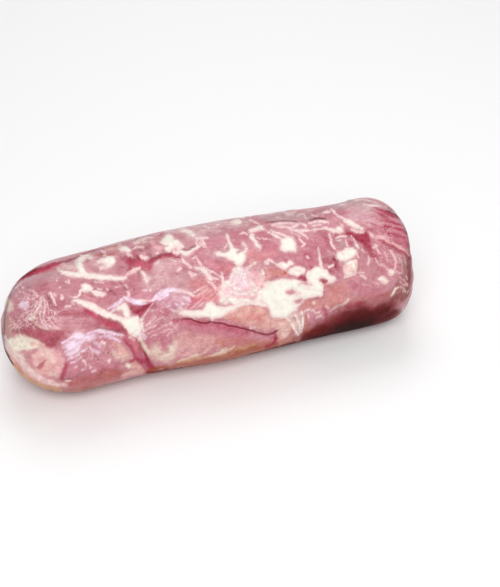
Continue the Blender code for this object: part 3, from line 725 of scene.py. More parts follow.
UPPER_MIDDLE_FILM = {
    "threads of the pad": ("pink white", 0.85, 1.0, [
        ((182, 257.6, 1), (184.4, 262, 1.2)), ((186.6, 263.6, 1.1), (191, 267.4, 1.3)),
        ((196.6, 258.4, 0.9), (199, 262.6, 1.3), (201, 266, 1)), ((203, 267.6, 1), (208, 270.2, 1.3),
        (213, 271, 0.8)), ((192, 258.6, 0.9), (196, 256.8, 0.8)), ((174, 252.4, 1.6), (178, 253.2, 1.4)),
        ((189.6, 272.6, 1.3), (192, 275.2, 2.3), (195.4, 275, 1.2)), ((169, 258, 0.4), (177, 261.6, 0.5)),
        ((209, 273.6, 0.8), (213, 271.6, 0.8), (217, 274, 0.8), (221, 277.4, 0.7)), ((213, 277.6, 0.9),
        (217.6, 279, 1)), ((209, 281.6, 1), (213, 284, 1.2), (216, 288, 1)), ((221.6, 272, 0.6),
        (222.6, 278, 0.9), (223.4, 285, 0.8)),
    ]),
    "feathers": ("pink white", 0.85, 0.9, [
        ((196, 238.6, 1), (203, 238.6, 1.2), (208.4, 237.8, 0.7)), ((196.6, 240.6, 0.7),
        (200, 243.6, 0.8), (205, 247.4, 0.8)), ((199, 239.4, 0.6), (204, 244.4, 0.7)), ((203, 240.4, 0.6),
        (206, 247, 0.7)), ((196, 242.4, 0.9), (197.6, 246, 0.8)), ((205, 226.6, 0.9), (209, 227.6, 1.2)),
        ((216, 224.6, 0.7), (219, 224.4, 0.7)), ((224, 248.6, 0.7), (227, 245, 0.7)), ((232, 216.4, 0.6),
        (244, 217.6, 0.7)), ((247.4, 214.4, 0.9), (250.6, 216.4, 0.9)), ((249.4, 219.8, 1.1),
        (254, 221.4, 1.2), (259, 223.8, 0.8)), ((240, 234, 0.8), (243.6, 232.8, 0.8), (247, 234.2, 0.7)),
    ]),
    "below star": ("ivory", 0.75, 3.4, [
        ((239, 267, 1.6), (236, 273, 2.4), (231, 279, 2.6)), ((229, 283, 3), (235, 282, 3.2)),
        ((222, 287, 1.6), (226, 283, 2)),
    ]),
    "web ground": ("pink white", 0.74, 8, [
        ((221, 286), (227, 280), (233, 274.6), (238.6, 268), (246, 268), (252, 266.6), (258, 271),
        (264, 276.6), (263, 283), (259, 288), (263, 294), (263, 305), (250, 304), (240, 302), (228, 303),
        (221, 300.6), (219, 293)),
    ]),
    "web ground lilac": ("lavender", 0.50, 4, [
        ((242, 269, 2.4), (245, 274, 2.8), (246, 281, 2.6)), ((230, 287, 1.2), (228, 291, 1.6)),
    ]),
    "web white": ("cream", 0.62, 5, [
        ((240, 269, 2.4), (237, 275, 4.2), (232, 280, 3.4)), ((247, 268, 1.6), (252, 266, 1.4)),
        ((224, 286, 1.4), (228, 282, 1.6)),
    ]),
    "web lilac": ("lavender", 0.50, 5, [
        ((229, 283, 2), (235, 279, 4.4), (241, 274, 4), (247, 269, 2.6)), ((238, 289, 3), (243, 284, 3.4),
        (250, 281, 2)),
    ]),
    "web pink pools": ("rosy", 0.85, 4, [
        ((257, 279, 2.4), (260, 284, 3.2), (258, 290, 2)), ((228, 288.6, 1.4), (226, 292, 1.4)),
        ((252, 270, 1.4), (255, 274, 1.6)), ((238, 287, 0.9), (242, 290, 0.9)), ((246, 296, 1.4),
        (254, 296, 2)),
    ]),
    "beside the large pad": ("cream", 0.85, 4, [
        ((264, 287, 2), (261, 293, 3), (261, 300, 3.4)), ((256, 290, 1.6), (252, 294, 1.4)),
        ((268, 281, 1.6), (264, 284, 1.6)),
    ]),
    "cream below web": ("cream", 0.82, 3.4, [
        ((224, 300, 2), (234, 301.4, 3.2), (246, 300.6, 3.4), (257, 301.4, 3.4)), ((222, 294, 2),
        (226, 297, 2.4)),
    ]),
    "web threads": ("cream", 0.72, 1.6, [
        ((237, 267, 0.8), (243, 271, 0.9), (240, 278, 0.8)), ((248, 268.6, 0.9), (252, 266, 1),
        (255.6, 263.4, 1.4)), ((246, 272, 0.9), (243, 278, 0.9), (246, 284, 0.8)), ((262, 270, 1.5),
        (263.4, 273, 1.6)), ((265.4, 261.6, 1.2), (267.6, 263.2, 1.6)), ((250, 280, 0.9), (255, 286, 0.9),
        (261, 289, 0.9)), ((228, 282, 1), (233, 287, 1), (240, 289, 0.9)), ((232, 292, 0.9),
        (240, 294, 0.9), (250, 292.6, 0.8)),
    ]),
    "web gaps": ("rosy", 0.60, 1.4, [
        ((234, 277, 0.5), (238, 283, 0.9)), ((247, 276, 0.7), (249, 282, 1)), ((254, 280, 1.3),
        (257, 284.6, 1.4)), ((226, 289, 0.9), (230, 293, 0.9)), ((240, 286, 0.7), (246, 289, 0.7)),
        ((238, 297.4, 0.8), (246, 296.8, 0.8)), ((216, 290, 1), (220, 286, 1.2)),
    ]),
    "white line": ("pink white", 0.85, 0.9, [
        ((263, 238.6, 0.6), (270, 239.4, 0.5)), ((257, 237, 0.6), (260, 238.6, 0.6)),
    ]),
    "stripes": ("pink white", 0.92, 0.9, [
        ((267, 231.4, 0.7), (274, 234.6, 1), (281.4, 238.8, 1.2)), ((269.6, 229.6, 0.5),
        (278, 233.2, 0.8), (289, 237.2, 0.9)), ((302, 246, 0.9), (305, 243.6, 0.9)), ((299, 238.6, 0.7),
        (303.4, 243, 0.7)), ((303, 224, 1.1), (306, 226, 1)),
    ]),
    "far strip": ("pink white", 0.92, 2, [
        ((272, 225.6, 0.8), (279, 223.4, 1.6), (288, 223, 1.6), (296, 224, 1.1), (301, 223.4, 0.6)),
        ((276, 227, 0.5), (286, 226.6, 0.8), (298, 226.6, 0.6)),
    ]),
    "far patch": ("pink white", 0.85, 2, [
        ((290, 229, 0.8), (296, 230.6, 1.4), (303, 230.4, 1.4), (308, 229.6, 0.8)), ((299, 232, 0.8),
        (305, 235, 1.2), (308, 238.6, 0.7)), ((292, 232.6, 0.5), (300, 236.4, 0.6)),
    ]),
    "patch tail": ("pink white", 0.90, 1.6, [
        ((267.6, 259.6, 0.8), (273, 262, 1.1), (278, 265.4, 1.3), (283, 268.4, 1.1)), ((264, 263, 0.7),
        (266.4, 264, 0.8)),
    ]),
    "arch crest": ("pink white", 0.94, 1.8, [
        ((309, 223.6, 0.9), (314, 222, 1.5), (321, 221.4, 1.4), (328, 222.4, 0.9)), ((312, 225.4, 0.5),
        (322, 225, 0.6)),
    ]),
    "arch": ("pink white", 0.92, 1.0, [
        ((306, 231, 0.8), (316, 229.6, 1), (327, 228.4, 1)), ((323.4, 212.4, 1), (329, 211.6, 1.2)),
        ((331, 208.6, 0.8), (334.4, 211.8, 1.3), (338, 215, 1.2), (343, 217.8, 1.1), (350, 221, 0.8)),
    ]),
    "right strands": ("pink white", 0.90, 0.9, [
        ((329.4, 234, 0.8), (331.2, 240, 1.3), (331.8, 245, 1.2), (335, 249.2, 1)), ((335.6, 238.4, 0.7),
        (340, 236, 1), (346, 236.4, 0.9)), ((346, 240, 0.6), (347.4, 246, 0.6)), ((351.5, 236.5, 0.6),
        (356, 242, 0.7)), ((355, 242, 0.7), (357.4, 245.4, 1.2), (358.6, 248, 1.1)), ((356, 253, 1),
        (359, 257, 0.8)), ((318, 248, 0.8), (319, 252, 1), (319.6, 258, 1.2), (320.6, 264, 1.8),
        (322.4, 268, 1)), ((307.4, 256.8, 1.3), (308.6, 258, 1.4)), ((328.6, 267.4, 1.1),
        (332.4, 265.2, 1.4)), ((337, 241, 0.5), (341, 240, 0.6)),
    ]),
}

RIGHT_MIDDLE = {
    "under large pad": ("coral", 0.75, 4, [
        ((305, 303, 3), (316, 304, 5), (330, 303, 5), (343, 300, 3)), ((300, 312, 2), (308, 308, 3)),
    ]),
    "salmon right": ("coral", 0.70, 7, [
        ((326, 284, 2), (332, 289, 5.4), (342, 288, 6), (348, 292, 4)), ((326, 296, 3), (336, 296, 3.4)),
    ]),
    "salmon right edge": ("crimson", 0.60, 1.3, [
        ((324, 285, 1), (323, 291, 1.1), (322.4, 297, 1)), ((312, 298.4, 0.9), (320, 297.4, 0.9)),
    ]),
    "rose right": ("mauve", 0.75, 7, [((362, 272, 6), (372, 268, 8), (378, 280, 8), (366, 288, 6))]),
    "rose right warm": ("rose", 0.60, 6, [
        ((352, 284, 4), (364, 292, 5), (378, 292, 6)), ((340, 272, 4), (338, 278, 3)),
    ]),
    "low rose": ("coral", 0.55, 5, [((346, 300, 3), (358, 300, 4), (370, 298, 4), (384, 296, 4))]),
    "tendon ground": ("blush", 0.70, 2.4, [
        ((284, 315), (290, 312), (297, 311), (302.6, 312), (304, 316), (303, 324), (301.6, 332),
        (299, 336), (295, 332), (291, 325), (287, 319.4)),
    ]),
    "tendon gap": ("plum", 0.55, 1.1, [
        ((293.6, 315.6, 0.7), (297, 320.6, 0.9)), ((297.6, 325, 0.6), (298.6, 330, 0.6)),
    ]),
    "tendons": ("cream", 0.92, 0.9, [
        ((285, 316, 0.9), (290, 321, 1.1), (293.4, 327, 1.1), (296, 332.6, 1), (298, 335.6, 0.7)),
        ((302, 312, 0.9), (303.2, 318, 1), (302.2, 326, 1), (301, 333, 0.8)), ((293, 312.6, 0.9),
        (297, 317.6, 1), (299.2, 324, 1.1), (299.4, 332, 0.8)), ((289, 312.4, 0.8), (292, 316, 0.7)),
    ]),
    "beside the tendons": ("terracotta", 0.70, 2.4, [((306, 316, 1.6), (307, 324, 2.2), (305, 331, 2))]),
    "low squiggle": ("pink white", 0.88, 0.9, [
        ((304, 312, 0.7), (309, 309.6, 0.9), (313, 310.6, 0.9), (316, 313, 0.9), (320, 311.6, 0.6)),
        ((316, 318, 0.7), (320, 315, 0.9), (323, 318, 1.1)), ((308, 313.4, 0.5), (309, 318, 0.5)),
        ((313.4, 302.6, 1.2), (314.6, 303.4, 1.2)), ((326, 306, 0.6), (328.4, 308, 0.7)),
    ]),
    "low peach streak": ("blush", 0.90, 0.8, [
        ((330, 310.8, 0.7), (335, 308, 1), (339, 305.6, 0.8), (343, 304.4, 1.1), (346.4, 301.6, 1.7),
        (348.6, 299.6, 1)),
    ]),
    "low lilac": ("lilac", 0.75, 1.6, [((331, 312.4, 1), (334, 312.6, 1.4), (337, 311.4, 1))]),
    "low dark dip": ("crimson", 0.65, 3, [
        ((324, 309, 1.6), (326, 314, 2)), ((346, 307, 2), (356, 304, 3), (364, 303, 2)),
    ]),
    "pad crimson": ("crimson", 0.85, 1.8, [
        ((299, 278, 1.8), (303, 276.6, 2.4), (305, 279.4, 2.2)), ((321, 280, 1.6), (325, 281, 2.6),
        (323, 283.6, 1.6)), ((309, 271.4, 1), (312, 268, 1.2)),
    ]),
    "pad peach": ("peach", 0.90, 3, [((294, 295, 2), (299, 293, 2.6), (304, 294, 2))]),
    "pale lower right patch": ("blush", 0.95, 1.4, [
        ((343.4, 265.6), (345.6, 262.2), (350, 260.2), (354.4, 258.8), (357.6, 259.2), (357.8, 264),
        (357, 270), (356, 274.4), (351, 276.6), (345.2, 278.2), (343, 277), (345.4, 273.6), (343.2, 270)),
    ]),
    "pale spot": ("blush", 0.95, 1.4, [
        ((388, 270.2), (391, 268.8), (394.4, 269.4), (396.6, 271), (394.4, 274.4), (391.2, 276.4),
        (388.6, 275.2), (387.2, 272.6)),
    ]),
    "pale low right patch": ("blush", 0.95, 1.4, [
        ((377.6, 278.6), (381, 276.2), (385.4, 277.6), (388, 281), (386.8, 284), (383, 283.4),
        (379.2, 281.6)),
    ]),
    "pale lights": ("cream", 0.70, 1.6, [
        ((347, 264, 1.4), (352, 262, 1.6), (354, 268, 1.2)), ((380, 279, 1), (384, 280, 1.4)),
        ((390, 271.6, 1), (392, 272.6, 1.2)), ((348, 274, 1.2), (352, 273, 1)),
    ]),
    "patch edge": ("clay", 0.70, 1.0, [((357.8, 260, 0.7), (358.6, 267, 0.9), (357.4, 274, 0.7))]),
}

RIGHT_SIDE = {
    # Painted sheen: the crest's grey and pale tones along the top edge
    "crest": ("grey pink", 0.85, 4, [
        ((332, 206, 3), (344, 204, 5), (356, 204, 5), (370, 206, 5), (382, 208, 3)),
    ]),
    "crest pale": ("pale mauve", 0.60, 5, [
        ((346, 207, 3), (358, 208, 5), (370, 212, 5)), ((354, 216, 4), (368, 220, 5), (378, 226, 4)),
    ]),
    "crest sheen": ("lilac", 0.20, 4, [((352, 216, 3), (362, 218, 4), (371, 221, 3))]),
    "crest edge": ("blush", 0.70, 1.2, [
        ((354, 200.4, 0.9), (362, 199.6, 1), (371, 201.6, 1), (381, 205, 0.8)),
    ]),
    "crest glints": ("pink white", 0.85, 1.0, [
        ((364, 204.2, 0.7), (372, 205.8, 0.9), (381, 206.6, 0.6)), ((340, 205, 0.5), (348, 203.8, 0.5)),
    ]),
    "shoulder": ("rose", 0.80, 5, [
        ((378, 212, 3), (390, 222, 6), (400, 234, 6)), ((374, 226, 4), (382, 232, 5)),
    ]),
    "shoulder deep": ("deep rose", 0.70, 3.4, [
        ((380, 212, 2), (392, 222, 4), (404, 236, 5)), ((384, 228, 3), (396, 236, 5), (406, 246, 4)),
        ((368, 228, 2), (372, 232, 2)),
    ]),
    "striations": ("crimson", 0.85, 1.4, [
        ((374, 207.4, 0.6), (384, 211.6, 1.3), (392, 215.6, 1.4), (400, 218.8, 1.2), (405, 223.6, 0.9)),
        ((386, 220.4, 0.7), (394, 222.2, 1), (402, 225.4, 0.8)), ((384, 226, 0.6), (393, 227, 1),
        (401, 229.8, 1.1), (408, 233.6, 0.8)), ((371, 210.6, 0.6), (381, 214.4, 0.8), (389, 219, 0.6)),
        ((388, 233, 0.6), (396, 234.6, 0.9), (405, 238.6, 0.8)), ((366, 222, 0.5), (376, 224.6, 0.7),
        (384, 229, 0.5)),
    ]),
    "striation dark": ("plum", 0.80, 1.1, [
        ((386, 210.6, 0.7), (395, 214.6, 0.9), (402, 219.4, 0.7)), ((404, 228, 0.8), (409, 234, 0.9)),
    ]),
    "shoulder rim": ("plum", 0.60, 3, [
        ((388, 208, 1), (397, 214, 1.6), (404, 223, 1.8), (409, 234, 1.8), (411, 246, 1.4)),
    ]),
    "striation lights": ("blush", 0.20, 0.9, [
        ((368, 208, 0.5), (375, 212.6, 0.8), (380, 217, 0.6)), ((386, 208.6, 0.5), (395, 212.8, 0.7)),
        ((389, 217.6, 0.6), (396, 219.4, 0.7), (403, 222.4, 0.6)), ((388, 223.8, 0.6), (398, 226, 0.8),
        (406, 229.8, 0.6)), ((391, 230.4, 0.5), (400, 232.2, 0.7), (407, 236, 0.6)), ((372, 218, 0.5),
        (380, 222.4, 0.6)), ((384, 236, 0.5), (392, 238, 0.6)),
    ]),
    "pool": ("crimson", 0.88, 4.5, [
        ((344, 231.8), (350, 232.6), (357, 232.8), (364, 232.4), (369.4, 234.6), (372, 240), (371, 247.6),
        (366, 246.6), (360.4, 244), (354.6, 240.4), (349, 236.4)),
    ]),
    "pool heart": ("wine", 0.30, 2, [((352, 235.8, 0.9), (358, 238.6, 1.3), (364, 241.6, 1.6))]),
    "pool tail": ("crimson", 0.65, 4, [((366, 246, 3), (371, 252, 4.4), (376, 258, 3))]),
    "pool lights": ("pink white", 0.88, 1.0, [
        ((351, 229.8, 0.9), (357, 231.6, 1.5), (362.6, 232.4, 1.2)), ((373, 247, 1.1),
        (375.6, 245.6, 1.9)), ((376.6, 248.6, 0.8), (379.4, 253, 0.7)), ((362, 249, 0.6),
        (364.4, 252.4, 0.6)), ((340.6, 224, 0.7), (343, 226, 0.8)),
    ]),
    "below ridge": ("crimson", 0.78, 2.8, [
        ((380, 240, 1.6), (386, 242.6, 2.4), (391, 246.2, 2.8), (397, 249.6, 2.8), (404, 252.6, 2.6),
        (410, 258, 2)),
    ]),
    "ridge": ("rosy", 0.85, 1.2, [
        ((368.4, 231, 1), (371, 235, 1.8), (375, 237.4, 1.3), (380, 237.2, 1.8), (385, 239.6, 1.2),
        (389, 242.8, 1.6), (395, 244.4, 1.1), (400, 248.6, 1.5), (404, 250.4, 1), (409, 256, 0.8)),
    ]),
    "ridge light": ("pink white", 0.60, 0.9, [
        ((370, 232.6, 0.8), (373, 236, 1)), ((377, 236.6, 0.6), (384, 237.4, 0.7)), ((393, 242, 0.6),
        (401, 246.6, 0.6)),
    ]),
    "below the ridge": ("rose", 0.70, 4, [
        ((384, 254, 4), (392, 262, 6), (398, 268, 5)), ((380, 262, 4), (384, 270, 4)),
    ]),
    "arcs": ("blush", 0.75, 0.9, [
        ((390.6, 251.4, 0.8), (394, 256, 1), (396, 262, 1), (395.2, 268, 0.9), (393, 271, 0.6)),
        ((380, 264, 0.6), (385, 267, 0.8), (389, 270, 0.7)), ((368, 256, 0.8), (368.8, 260, 1.1),
        (368, 265, 0.8)), ((375.6, 258, 0.6), (377.6, 262.4, 1), (381, 266, 0.7)), ((384, 252, 0.5),
        (387, 257, 0.7), (388, 263, 0.5)), ((399, 258, 0.5), (402, 264, 0.6), (402, 270, 0.5)),
        ((404, 256, 0.4), (407, 264, 0.5)),
    ]),
    "middle glints": ("pink white", 0.70, 1.0, [
        ((360.6, 275, 0.8), (366, 278.4, 0.9)), ((356, 272, 0.5), (364, 272.4, 0.6)), ((372, 282, 0.5),
        (379, 284.6, 0.6)), ((396, 272, 0.6), (402, 272.8, 0.7)), ((362, 284, 0.4), (370, 286, 0.5)),
    ]),
    # Painted shade: the right end darkens towards its edge and lower side
    "right edge": ("umber", 0.42, 8, [((404, 252, 2), (405, 266, 4), (404, 282, 5), (398, 294, 5))]),
    "low dusk": ("dusk", 0.45, 5, [((358, 296, 3), (372, 296, 4), (386, 295, 3))]),
    "painted shade line at the right end": ("umber", 0.72, 6, [
        ((409.5, 246, 2), (410.5, 262, 2.6), (410, 278, 2.8), (408, 292, 3), (404, 300, 3)),
    ]),
    "painted shade low right, brick": ("brick", 0.35, 5, [((386, 296, 4), (395, 292, 4), (402, 288, 3))]),
    "painted shade low right, umber": ("umber", 0.45, 7, [((392, 302, 3), (399, 297, 4), (404, 292, 3))]),
    "curls": ("blush", 0.80, 0.8, [
        ((400, 282, 0.7), (403, 284.6, 0.8), (406, 285.4, 0.6)), ((403, 279, 0.5), (405.4, 282, 0.7),
        (408, 286, 0.6)), ((401, 287, 0.6), (405, 289.6, 0.7)), ((406, 276, 0.5), (408, 279, 0.5)),
        ((403, 291, 0.5), (408, 292, 0.5)), ((399, 276, 0.5), (402, 279.6, 0.5)),
    ]),
    "stroke": ("cream", 0.95, 0.9, [
        ((396.2, 288.4, 0.9), (393.6, 292, 1.3), (391, 296.8, 0.9)), ((394, 288.4, 0.6),
        (398.4, 287.6, 0.5)),
    ]),
    # Painted shade on the lower right underside, from brick through maroon to near black
    "dark foot": ("brick", 0.75, 5, [
        ((300, 339, 2), (308, 334, 3.6), (316, 331, 3.6), (324, 326, 2)), ((298, 343, 2), (310, 338, 3),
        (320, 335, 2)),
    ]),
    "dark foot shade": ("umber", 0.50, 5, [((302, 340, 2), (312, 335, 3.4), (320, 332, 3))]),
    "painted shade reach": ("oxblood", 0.85, 17, [
        ((304, 338, 3), (316, 332.6, 7), (330, 326, 11), (346, 319, 13), (362, 314, 12), (378, 310, 9),
        (394, 304, 6)), ((306, 343, 3), (326, 337, 6), (350, 328, 10), (372, 320, 9), (394, 312, 6)),
    ]),
    "dark": ("maroon", 0.90, 14, [
        ((300, 343, 2), (312, 339, 5), (324, 334, 7.4), (336, 330, 9), (350, 324, 11.4), (366, 319, 10),
        (380, 313, 6.4), (390, 309, 4)), ((304, 346, 2), (318, 341, 5), (334, 337, 7), (358, 329, 9),
        (380, 320, 6.6), (394, 312, 3)),
    ]),
    "painted shade edge": ("black red", 0.75, 12, [
        ((308, 343, 1), (320, 339, 3.4), (332, 335, 5), (342, 331.6, 6), (352, 328, 7), (362, 325, 6),
        (370, 322, 4)),
    ]),
}

# The one long crisp seam between two muscles, as a run of (pixel x, pixel y)
LONG_SEAM = (
    (173, 320.0), (178, 319.0), (184, 318.6), (190, 319.0), (195, 321.0), (200, 323.2), (206, 323.2),
    (211, 321.6), (216, 322.8), (222, 323.6), (230, 325.6), (238, 326.6), (243, 328.2), (248, 330.0),
    (256, 332.0), (262, 333.6), (268, 334.6), (273, 333.6), (277, 331.0),
)
SEAM_UNEVEN_WIDTH = 0.975
SEAM_REACH = 4.0
SEAM_FADES_IN = (171, 190)

# Crisp fat, in the same two forms
FAT = {
    "arm": (
        (75, 263), (77, 259.6), (80, 257), (84, 255), (90, 253.6), (89, 256), (85, 259), (82.4, 262.6),
        (82.6, 266.6), (84.6, 270), (88, 272.8), (84, 275.6), (78, 275), (77.6, 270), (76, 267),
    ),
    "long strip": (
        (58, 269.6, 0.6), (63, 272.2, 1.6), (70, 273.8, 2.2), (78, 274.4, 2.4), (86, 275, 2.4),
        (95, 276.6, 2.5), (104, 277.8, 2.4), (114, 278.4, 2.3), (121, 278.6, 1.6), (125.6, 278, 0.9),
    ),
    "oval patch": (
        (99, 261.4), (102.6, 258.4), (107.6, 256.4), (112.8, 256.8), (116, 260), (115.6, 263.2),
        (112.6, 265.2), (110, 267.4), (106.6, 267.4), (105.4, 264.4), (102, 262.6),
    ),
    "oval bits": ((90, 257.8, 0.7), (92, 258.4, 0.9)),
    "triangle": (
        (82, 285.4), (86, 283.2), (89.4, 284.8), (92.6, 288.2), (91.2, 291.4), (86, 292), (82.8, 290.8),
    ),
    "small bar": (
        (91, 291.4), (94, 291.6), (97, 290.8), (101, 291.6), (105, 292.8), (106.4, 295), (103, 296.4),
        (98, 296.2), (94, 294.6),
    ),
    "top speck": (
        (119, 248.6), (121, 246.6), (125, 246), (129, 248), (131.6, 251), (129, 252.6), (124, 252.2),
        (120, 250.8),
    ),
    "collar": (
        (73.4, 301.6, 0.8), (77, 301.2, 1.7), (81, 302.2, 2.3), (86, 304.2, 2.7), (91, 306, 2.9),
        (96, 308.8, 3), (101, 311.6, 3), (106, 314, 2.9), (111, 316.2, 2.8), (116, 318, 2.8),
        (122, 319.8, 2.5),
    ),
    "groove pad": (
        (118, 317.6), (124, 318), (130, 316.6), (137.4, 316.4), (139.4, 320.6), (141, 326),
        (141.4, 330.6), (140, 334.4), (136.4, 336.8), (131.4, 336), (128, 332), (124.6, 326.8),
        (120.6, 322.4),
    ),
    "pad tail": ((139.4, 333, 1.2), (139.8, 336.6, 0.9), (140.4, 340, 0.6)),
    "pad thread": ((141, 319.6, 0.8), (141.8, 325, 1), (143, 330.4, 0.9)),
    "pad horn": (
        (116, 308.8), (118.6, 305.6), (122, 304.2), (125.4, 303.6), (127.4, 306), (129, 309),
        (130.6, 312.6), (130, 317), (126, 317), (124, 313.6), (122.6, 311), (118.6, 310.8),
    ),
    "middle star": ((141.6, 271.6, 0.8), (144.4, 276, 1.6), (146.8, 281, 1.3)),
    "middle star arm": ((144, 276.6, 0.9), (149, 278, 0.7)),
    "upper pad": (
        (160, 242.2), (162.6, 239.6), (165.6, 236), (169, 233.8), (172, 235.6), (173.6, 239),
        (177.4, 239.8), (180.6, 242.6), (184, 246.8), (181.4, 249), (177, 248), (174.2, 248),
        (171.4, 249.4), (169.4, 251.6), (165.8, 250.8), (165.6, 247.8), (167.4, 246), (163.6, 244),
    ),
    "pad strip": (
        (179, 251.4, 1.2), (183.4, 253.4, 2), (188, 252.8, 1.8), (192, 250.8, 1.4), (196, 248, 1),
        (199, 246, 0.6),
    ),
    "upper cluster": (
        (180, 229.8), (184, 228.8), (189, 229.6), (192.4, 231.6), (194.6, 234.6), (196, 238),
        (192.6, 238.4), (190.4, 235.4), (187, 232.6), (182, 231.6),
    ),
    "lower thread": (
        (194.6, 268, 0.9), (200, 268.8, 1.5), (204.4, 271.6, 1.8), (208, 275.4, 1.9), (211.4, 278.6, 1.4),
    ),
    "star": (
        (214, 253), (217, 251.4), (221, 252.6), (226, 252.4), (229, 250.4), (231, 246.8), (234, 247.6),
        (238, 249.4), (241.6, 252), (244.6, 253), (246, 257), (244.6, 261), (241.6, 265.6), (238, 266.6),
        (234, 263.6), (230, 259.6), (226, 257), (221, 255.8), (217, 255.4),
    ),
    "star arm": ((232, 248.4, 1.5), (230, 243.4, 1), (228.2, 239.4, 0.9), (227, 236.4, 1.5)),
    "star hook": ((243, 254, 1.2), (246, 250, 0.8), (246, 246.4, 0.7), (243.4, 243.8, 0.6)),
    "top bar": (
        (231, 221.6), (235, 219.6), (240, 219.2), (241.6, 221.2), (239.4, 223.6), (234, 224),
        (231.4, 223.4),
    ),
    "ivory cluster": (
        (248.4, 230.6), (251, 228.8), (255.6, 227.8), (258.8, 225.6), (262, 225.8), (263.8, 228.4),
        (262, 229.6), (258, 230.6), (253, 231.6), (249, 232.2),
    ),
    "vertical": (
        (249.6, 233.6), (252.6, 233), (254.6, 236), (255.4, 239.4), (252.6, 240.4), (250, 237.6),
    ),
    "vertical low": (
        (253.4, 240.8), (256.4, 241), (258.4, 244), (261, 247.6), (259.6, 249.8), (256.4, 247.4),
    ),
    "square": (
        (281.6, 239.6), (286.6, 237.2), (291.6, 237.6), (295, 241.4), (296.6, 247.6), (295, 252.4),
        (289.6, 251), (284.6, 251.6), (281, 249.6),
    ),
    "patch middle": (
        (278, 264.6), (282, 261.6), (286.4, 263), (289, 260.6), (292.4, 261.4), (293.4, 264),
        (290, 265.6), (287.6, 268), (285, 269.6), (282, 267.4),
    ),
    "patch right": (
        (290.6, 268.4), (295.6, 266.8), (300, 267.2), (304, 268.4), (305.2, 271.6), (303, 275.4),
        (297.6, 277), (293.6, 275), (289, 273.6), (288.6, 270.6),
    ),
    "large pad": (
        (262, 291), (264.6, 286), (269.6, 282), (276.6, 280), (284, 279), (291, 278.8), (297, 279.6),
        (302, 283), (307.6, 284), (307.4, 278), (307.2, 273.4), (310.6, 269.6), (315.6, 266.4),
        (319.4, 265.4), (323, 268.2), (327.4, 271.8), (330.4, 275.6), (334.6, 276.2), (336, 279.2),
        (332.4, 282), (327, 282.4), (324.4, 284.4), (323.4, 289), (322, 295.4), (316, 296.6),
        (309, 297.6), (304.4, 299.4), (302.4, 303.4), (298.6, 306.4), (296, 310.4), (291, 312.4),
        (287, 316.4), (280, 318), (274, 318), (271.4, 315), (270, 310), (267.4, 306.4), (263.6, 304),
        (261.6, 300),
    ),
    "strip below": (
        (177.4, 310.6), (184, 311.2), (191, 311.4), (197, 311.2), (202, 309.8), (205.4, 306.4),
        (207.4, 303.4), (210.4, 301.8), (214, 302.6), (217.4, 305.4), (223, 306.2), (229, 306),
        (234, 305.2), (239, 302.8), (240, 306), (235, 309.6), (229, 311.6), (225, 314.4), (221, 317),
        (215, 318.6), (212, 320.8), (209, 318.4), (204, 318), (197, 317.4), (189, 316.4), (183.4, 315.8),
        (180, 313.6),
    ),
    "band below": (
        (236, 306.4, 1.2), (244, 303, 1.5), (252, 302.6, 1.8), (259, 303.6, 2.3), (266, 304.8, 2.4),
    ),
    "hook": (
        (326, 228.4), (331, 228.2), (335.6, 229.6), (338, 226.8), (340.8, 226.6), (342.8, 229.4),
        (344.6, 232.4), (340, 232.8), (334, 232.4), (328.4, 230.8),
    ),
    "cream stripe": (
        (343, 218.8), (348, 219.6), (353, 222), (358, 225), (363, 228.2), (361.6, 230.2), (355, 228),
        (349, 225), (345, 222),
    ),
    "right patch": (
        (336.6, 254.6), (338, 252), (341, 252.2), (343, 251.8), (345.4, 249), (349, 247.6),
        (353.4, 247.6), (356.6, 249.8), (357.6, 252.6), (354.4, 255.4), (352.4, 257.6), (349.8, 259.4),
        (345.4, 261.4), (341, 261.4), (338, 258.6),
    ),
}

# Muscle that shows through the fat
HOLES = {
    "bean": (
        (285.6, 292), (289.4, 290.2), (291.6, 288.2), (293.8, 290), (296.2, 292), (293.8, 294.8),
        (289, 295), (286.4, 293.8),
    ),
    "slot": ((293.6, 301.6), (297.6, 299.6), (303, 297.8), (303, 300.4), (298.8, 303.6), (294.6, 303.4)),
    "notch": ((296.6, 308.6), (299, 306), (303.4, 304.6), (305, 307), (303.6, 312.4), (298, 311.6)),
    "crescent": ((298.6, 284), (302.8, 281.8), (307.2, 282.6), (311.8, 285.6), (308, 286), (303, 284.2)),
    "upper blob": (
        (297.4, 276.4), (302.6, 274.4), (306.4, 276.2), (306.6, 280), (303.2, 282.4), (298.8, 280.4),
    ),
    "right blob": ((318.6, 279.4), (322.8, 277.8), (328.4, 279.8), (327.4, 283.2), (322, 284.4)),
    "upper pad line": ((163.6, 244.8, 0.7), (167.6, 246, 0.9)),
    "star dip": ((238, 252.8, 0.9), (240.4, 251.6, 0.8)),
    "patch dip": ((342.8, 251, 0.6), (342.6, 253, 0.6)),
    "horn dip": ((118.6, 312.8, 1.2), (122.4, 314.6, 1.5)),
    "oval dip": ((103.6, 263.8, 0.8), (105, 265.4, 0.9)),
    "right thin": ((303, 288, -1.2), (312, 290.4, -1), (320, 290, -1.2)),
    "slot thin": ((292, 303, -1), (299, 297, -0.8), (305, 295, -1.2)),
    "patch right thin": ((295, 271, -0.5), (299.6, 272, -0.5)),
    "oval thin": ((101.4, 262.6, -0.3), (105, 266.4, -0.2), (110, 260, -0.8)),
    "bar thin": ((94, 293.6, -0.2), (104, 294.4, -0.2)),
    "arm thin": ((78, 258, -0.4), (76.6, 266, -0.4), (80, 273, -0.8)),
    "peach gap": ((296, 294.8, 0.3), (300, 293, 0.2)),
    "upper pad thin": ((174, 246, -0.2), (179, 245.6, -0.2)),
    "collar thin": ((88, 307, -0.6), (96, 309.6, -0.6), (104, 314, -0.8)),
}

